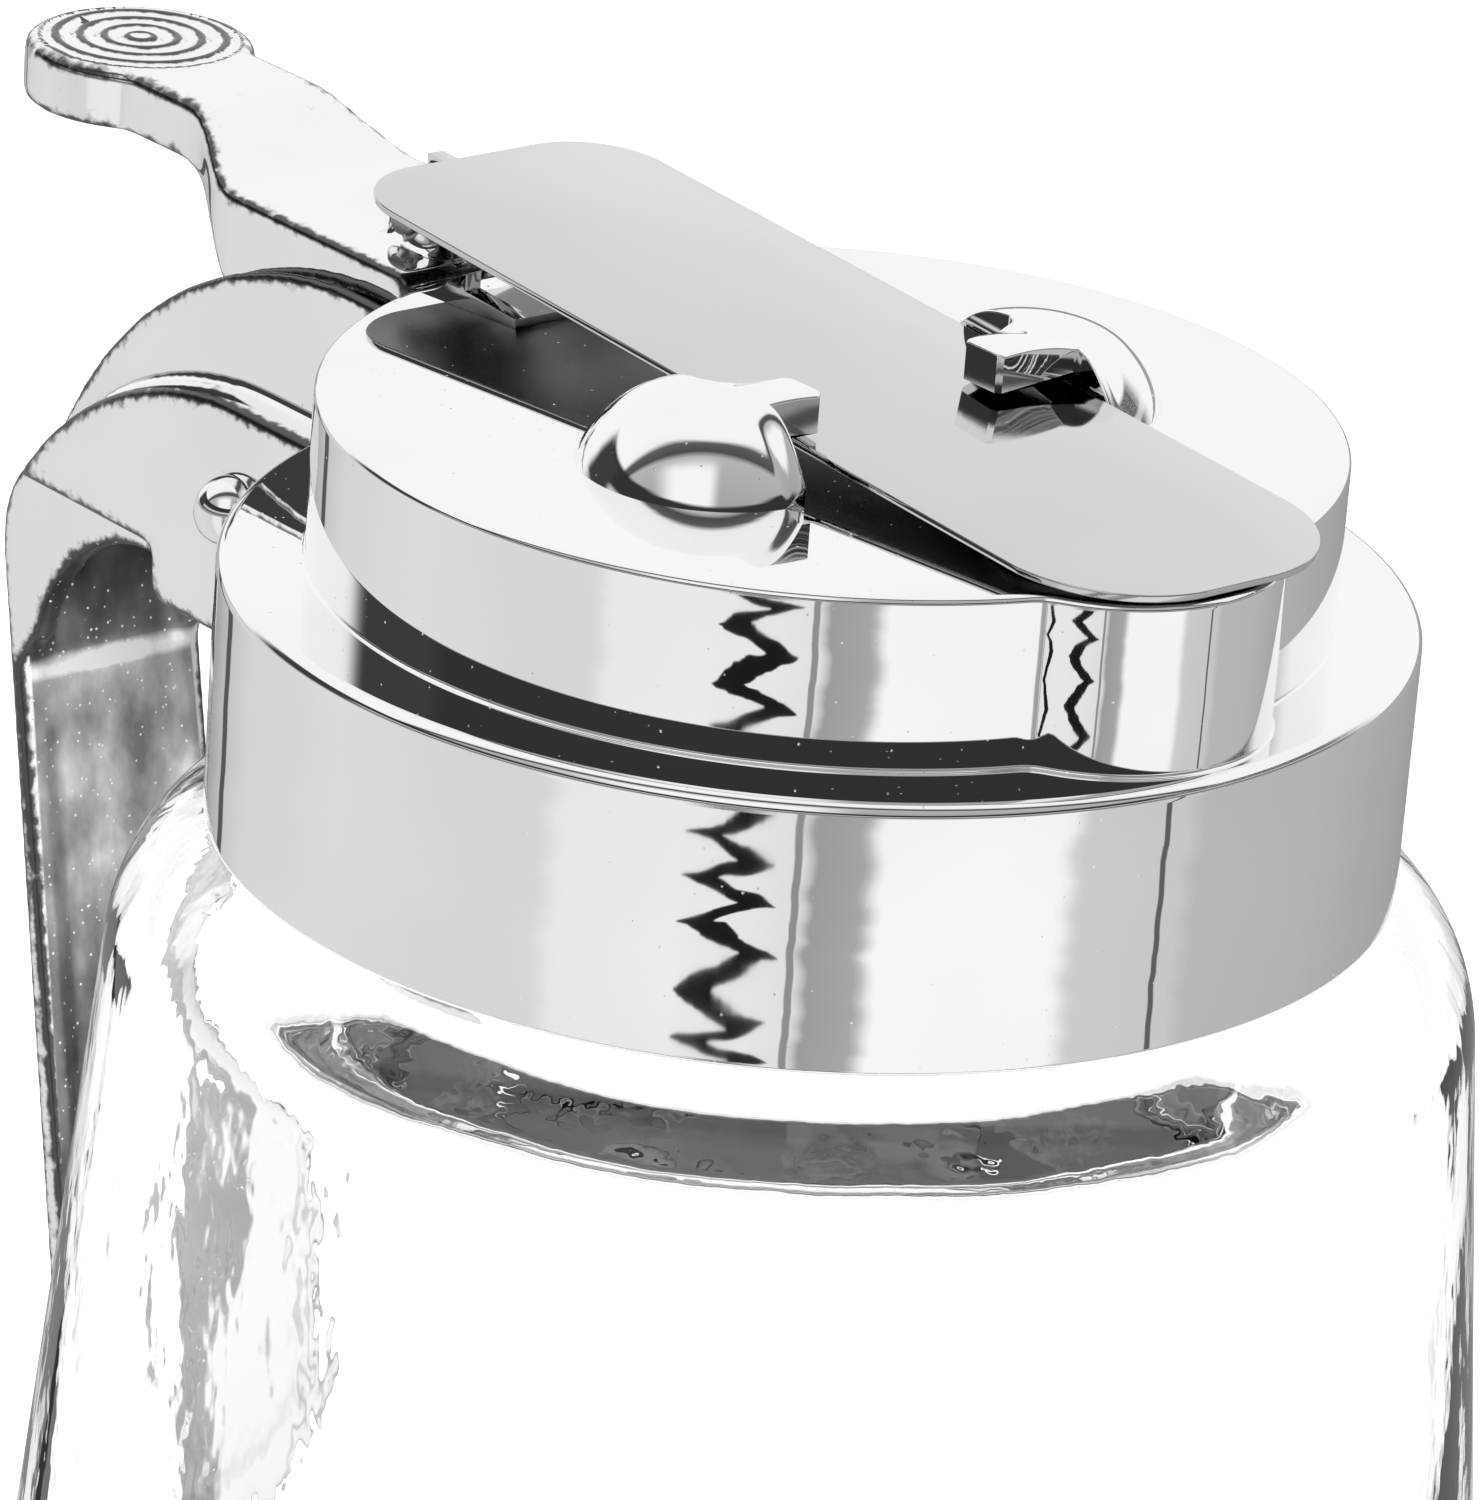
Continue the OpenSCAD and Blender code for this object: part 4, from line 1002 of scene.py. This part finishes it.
def studio_world():
    world = bpy.data.worlds.new("studio")
    bpy.context.scene.world = world
    world.use_nodes = True
    tree = world.node_tree
    g = Graph(tree)
    ray = tree.nodes.new("ShaderNodeTexCoord").outputs["Generated"]
    toward, across, up = (g.dot(ray, way) for way in (CAMERA_SIDE, CAMERA_RIGHT, (0, 0, 1)))
    degrees = 180 / math.pi
    lift = g.math("MULTIPLY", g.math("ARCSINE", up), degrees)
    side = g.math("MULTIPLY", g.math("ARCTAN2", across, toward), degrees)
    over = g.math("MULTIPLY", g.math("ARCTAN2", up, toward), degrees)

    def between(value, edges):
        """1 between two soft edges."""
        return g.math("MULTIPLY", *(g.step(value, *edge) for edge in edges))

    # Low down: the table's surroundings, with torn edges, the dark zigzag and the dark bars
    torn = g.math("MULTIPLY", g.noise_1d(lift, 2.6, 3), TORN)
    low = g.ramp(g.math("ADD", side, torn), LOW_SIDES, -180, 180)
    loose = g.math("MULTIPLY", g.noise_1d(lift, 1.2), 0.3)
    teeth = g.math("PINGPONG", g.math("ADD", lift, loose), ZIGZAG_TOOTH)
    teeth = g.math("MULTIPLY", teeth, ZIGZAG_STEEP)
    teeth = g.math("ADD", teeth, g.math("MULTIPLY", g.noise_1d(lift, 9.0, 3), TORN))
    off = g.math("ABSOLUTE", g.math("ADD", g.math("SUBTRACT", side, teeth), ZIGZAG_AT))
    low = g.mix(g.step(off, *ZIGZAG_EDGE), low, ZIGZAG_TONE)
    for place, width, dark in BARS:
        bar = g.math("ADD", side, g.math("MULTIPLY", torn, BAR_TORN))
        off = g.math("ABSOLUTE", g.math("SUBTRACT", bar, place))
        low = g.mix(g.step(off, width, width * BAR_SOFT), low, dark)

    # Higher up: a dark strip and a white sheet overhead, a lamp, the dark room and a dark wall
    high = g.ramp(over, OVERHEAD, 0, 180)
    lamp = g.math("MULTIPLY", between(across, LAMP_ACROSS), between(over, LAMP_OVER))
    high = g.mix(lamp, high, 1.0)
    room = g.ramp(lift, ROOM, -90, 90)
    streaks = g.step(g.noise_1d(side, 6.0, 2), *STREAK_EDGE)
    streaks = g.math("MULTIPLY", streaks, g.step(lift, *STREAK_LOW))
    room = g.mix(g.math("MULTIPLY", streaks, g.step(side, *STREAK_SIDE)), room, STREAK_TONE)
    turned = g.math("ABSOLUTE", side)
    front = g.math("MULTIPLY", g.step(lift, *ROOM_TOP), g.step(turned, *ROOM_SIDE))
    high = g.mix(front, high, room)
    wall = g.math("MULTIPLY", between(side, WALL_SIDES), between(lift, WALL_LIFT))
    high = g.mix(wall, high, WALL_TONE)
    shine = g.mix(g.step(lift, *HORIZON), low, high)

    rays = tree.nodes.new("ShaderNodeLightPath").outputs
    through = rays["Is Transmission Ray"]
    reflected = g.math("MULTIPLY", rays["Is Glossy Ray"], g.math("SUBTRACT", 1, through))
    direct = g.math("MAXIMUM", rays["Is Camera Ray"], through)
    light = g.mix(direct, ROOM_LIGHT, 1.0)
    light = g.mix(reflected, light, shine)
    tree.links.new(light, tree.nodes["Background"].inputs["Color"])


# Table and lamps, in metres except the table's own sizes
TABLE_HALF = 3000
TABLE_Z = -0.4
TABLE_GLOW = 0.62
LAMP_TARGET = Vector((0, 0, 0.08))


def make_floor():
    """A white table, bright to look at from the camera and through the glass."""
    bm = bmesh.new()
    corners = ((-1, -1), (1, -1), (1, 1), (-1, 1))
    bm.faces.new(add_ring(bm, [(TABLE_HALF * x, TABLE_HALF * y, TABLE_Z) for x, y in corners]))
    mesh = bpy.data.meshes.new("table")
    bm.to_mesh(mesh)
    bm.free()
    table = bpy.data.objects.new("table", mesh)
    bpy.context.scene.collection.objects.link(table)
    table.visible_glossy = False
    material, tree, shader = new_material("white_table")
    shader.inputs["Roughness"].default_value = 0.7
    grain = place_noise(tree, scale=12, detail=3)
    tone = ramp(tree, grain.outputs["Fac"], [(0.3, 0.78), (0.7, 0.82)])
    tree.links.new(tone, shader.inputs["Base Color"])
    rays = tree.nodes.new("ShaderNodeLightPath").outputs
    g = Graph(tree)
    seen = g.math("MAXIMUM", rays["Is Camera Ray"], rays["Is Glossy Ray"])
    seen = g.math("MAXIMUM", seen, rays["Is Transmission Ray"])
    shader.inputs["Emission Color"].default_value = (1, 1, 1, 1)
    tree.links.new(g.math("MULTIPLY", seen, TABLE_GLOW), shader.inputs["Emission Strength"])
    mesh.materials.append(material)


def area_lamp(name, place, size, power):
    data = bpy.data.lights.new(name, "AREA")
    data.shape = "RECTANGLE"
    data.size, data.size_y = size
    data.energy = power
    lamp = bpy.data.objects.new(name, data)
    lamp.location = place
    lamp.rotation_euler = (LAMP_TARGET - Vector(place)).to_track_quat("-Z", "Y").to_euler()
    lamp.visible_glossy = False
    bpy.context.scene.collection.objects.link(lamp)


make_camera()
studio_world()
make_floor()
area_lamp("key", place=(-0.5, -0.6, 0.9), size=(0.7, 0.7), power=5)
area_lamp("fill", place=(0.7, 0.3, 0.8), size=(0.8, 0.8), power=4)

make_cap()
make_guide("blade_guide_near", side=-1, reach=3.6)
make_guide("blade_guide_far", side=1, reach=6.4)
make_jar()
make_spring()
rounded("pour_seat", SATIN, width=0.15)
cast("handle", HANDLE_CHROME, voxel=0.29, passes=28)
rounded("hinge_pin", CHROME, width=0.2)
rounded("pin_cap", CHROME, width=0.3)
cast("thumb_lever", LEVER_CHROME, voxel=0.22, passes=58,
     share=lever_share, shape=pad_rings)
rounded("shutter_blade", BLADE_STEEL, width=0.12)
rounded("blade_tab", SATIN, width=0.12)

# The nodes that keep the CAD's own mesh
for node, material in {
    "jar_gasket": RUBBER, "threaded_liner": WHITE_PLASTIC, "spring_bush": WHITE_PLASTIC,
    "guide_screws": PLAIN_STEEL, "handle_screws": PLAIN_STEEL, "drive_pin": PLAIN_STEEL,
}.items():
    NODES[node].data.materials.clear()
    NODES[node].data.materials.append(material)

bpy.context.scene.view_settings.view_transform = "Standard"
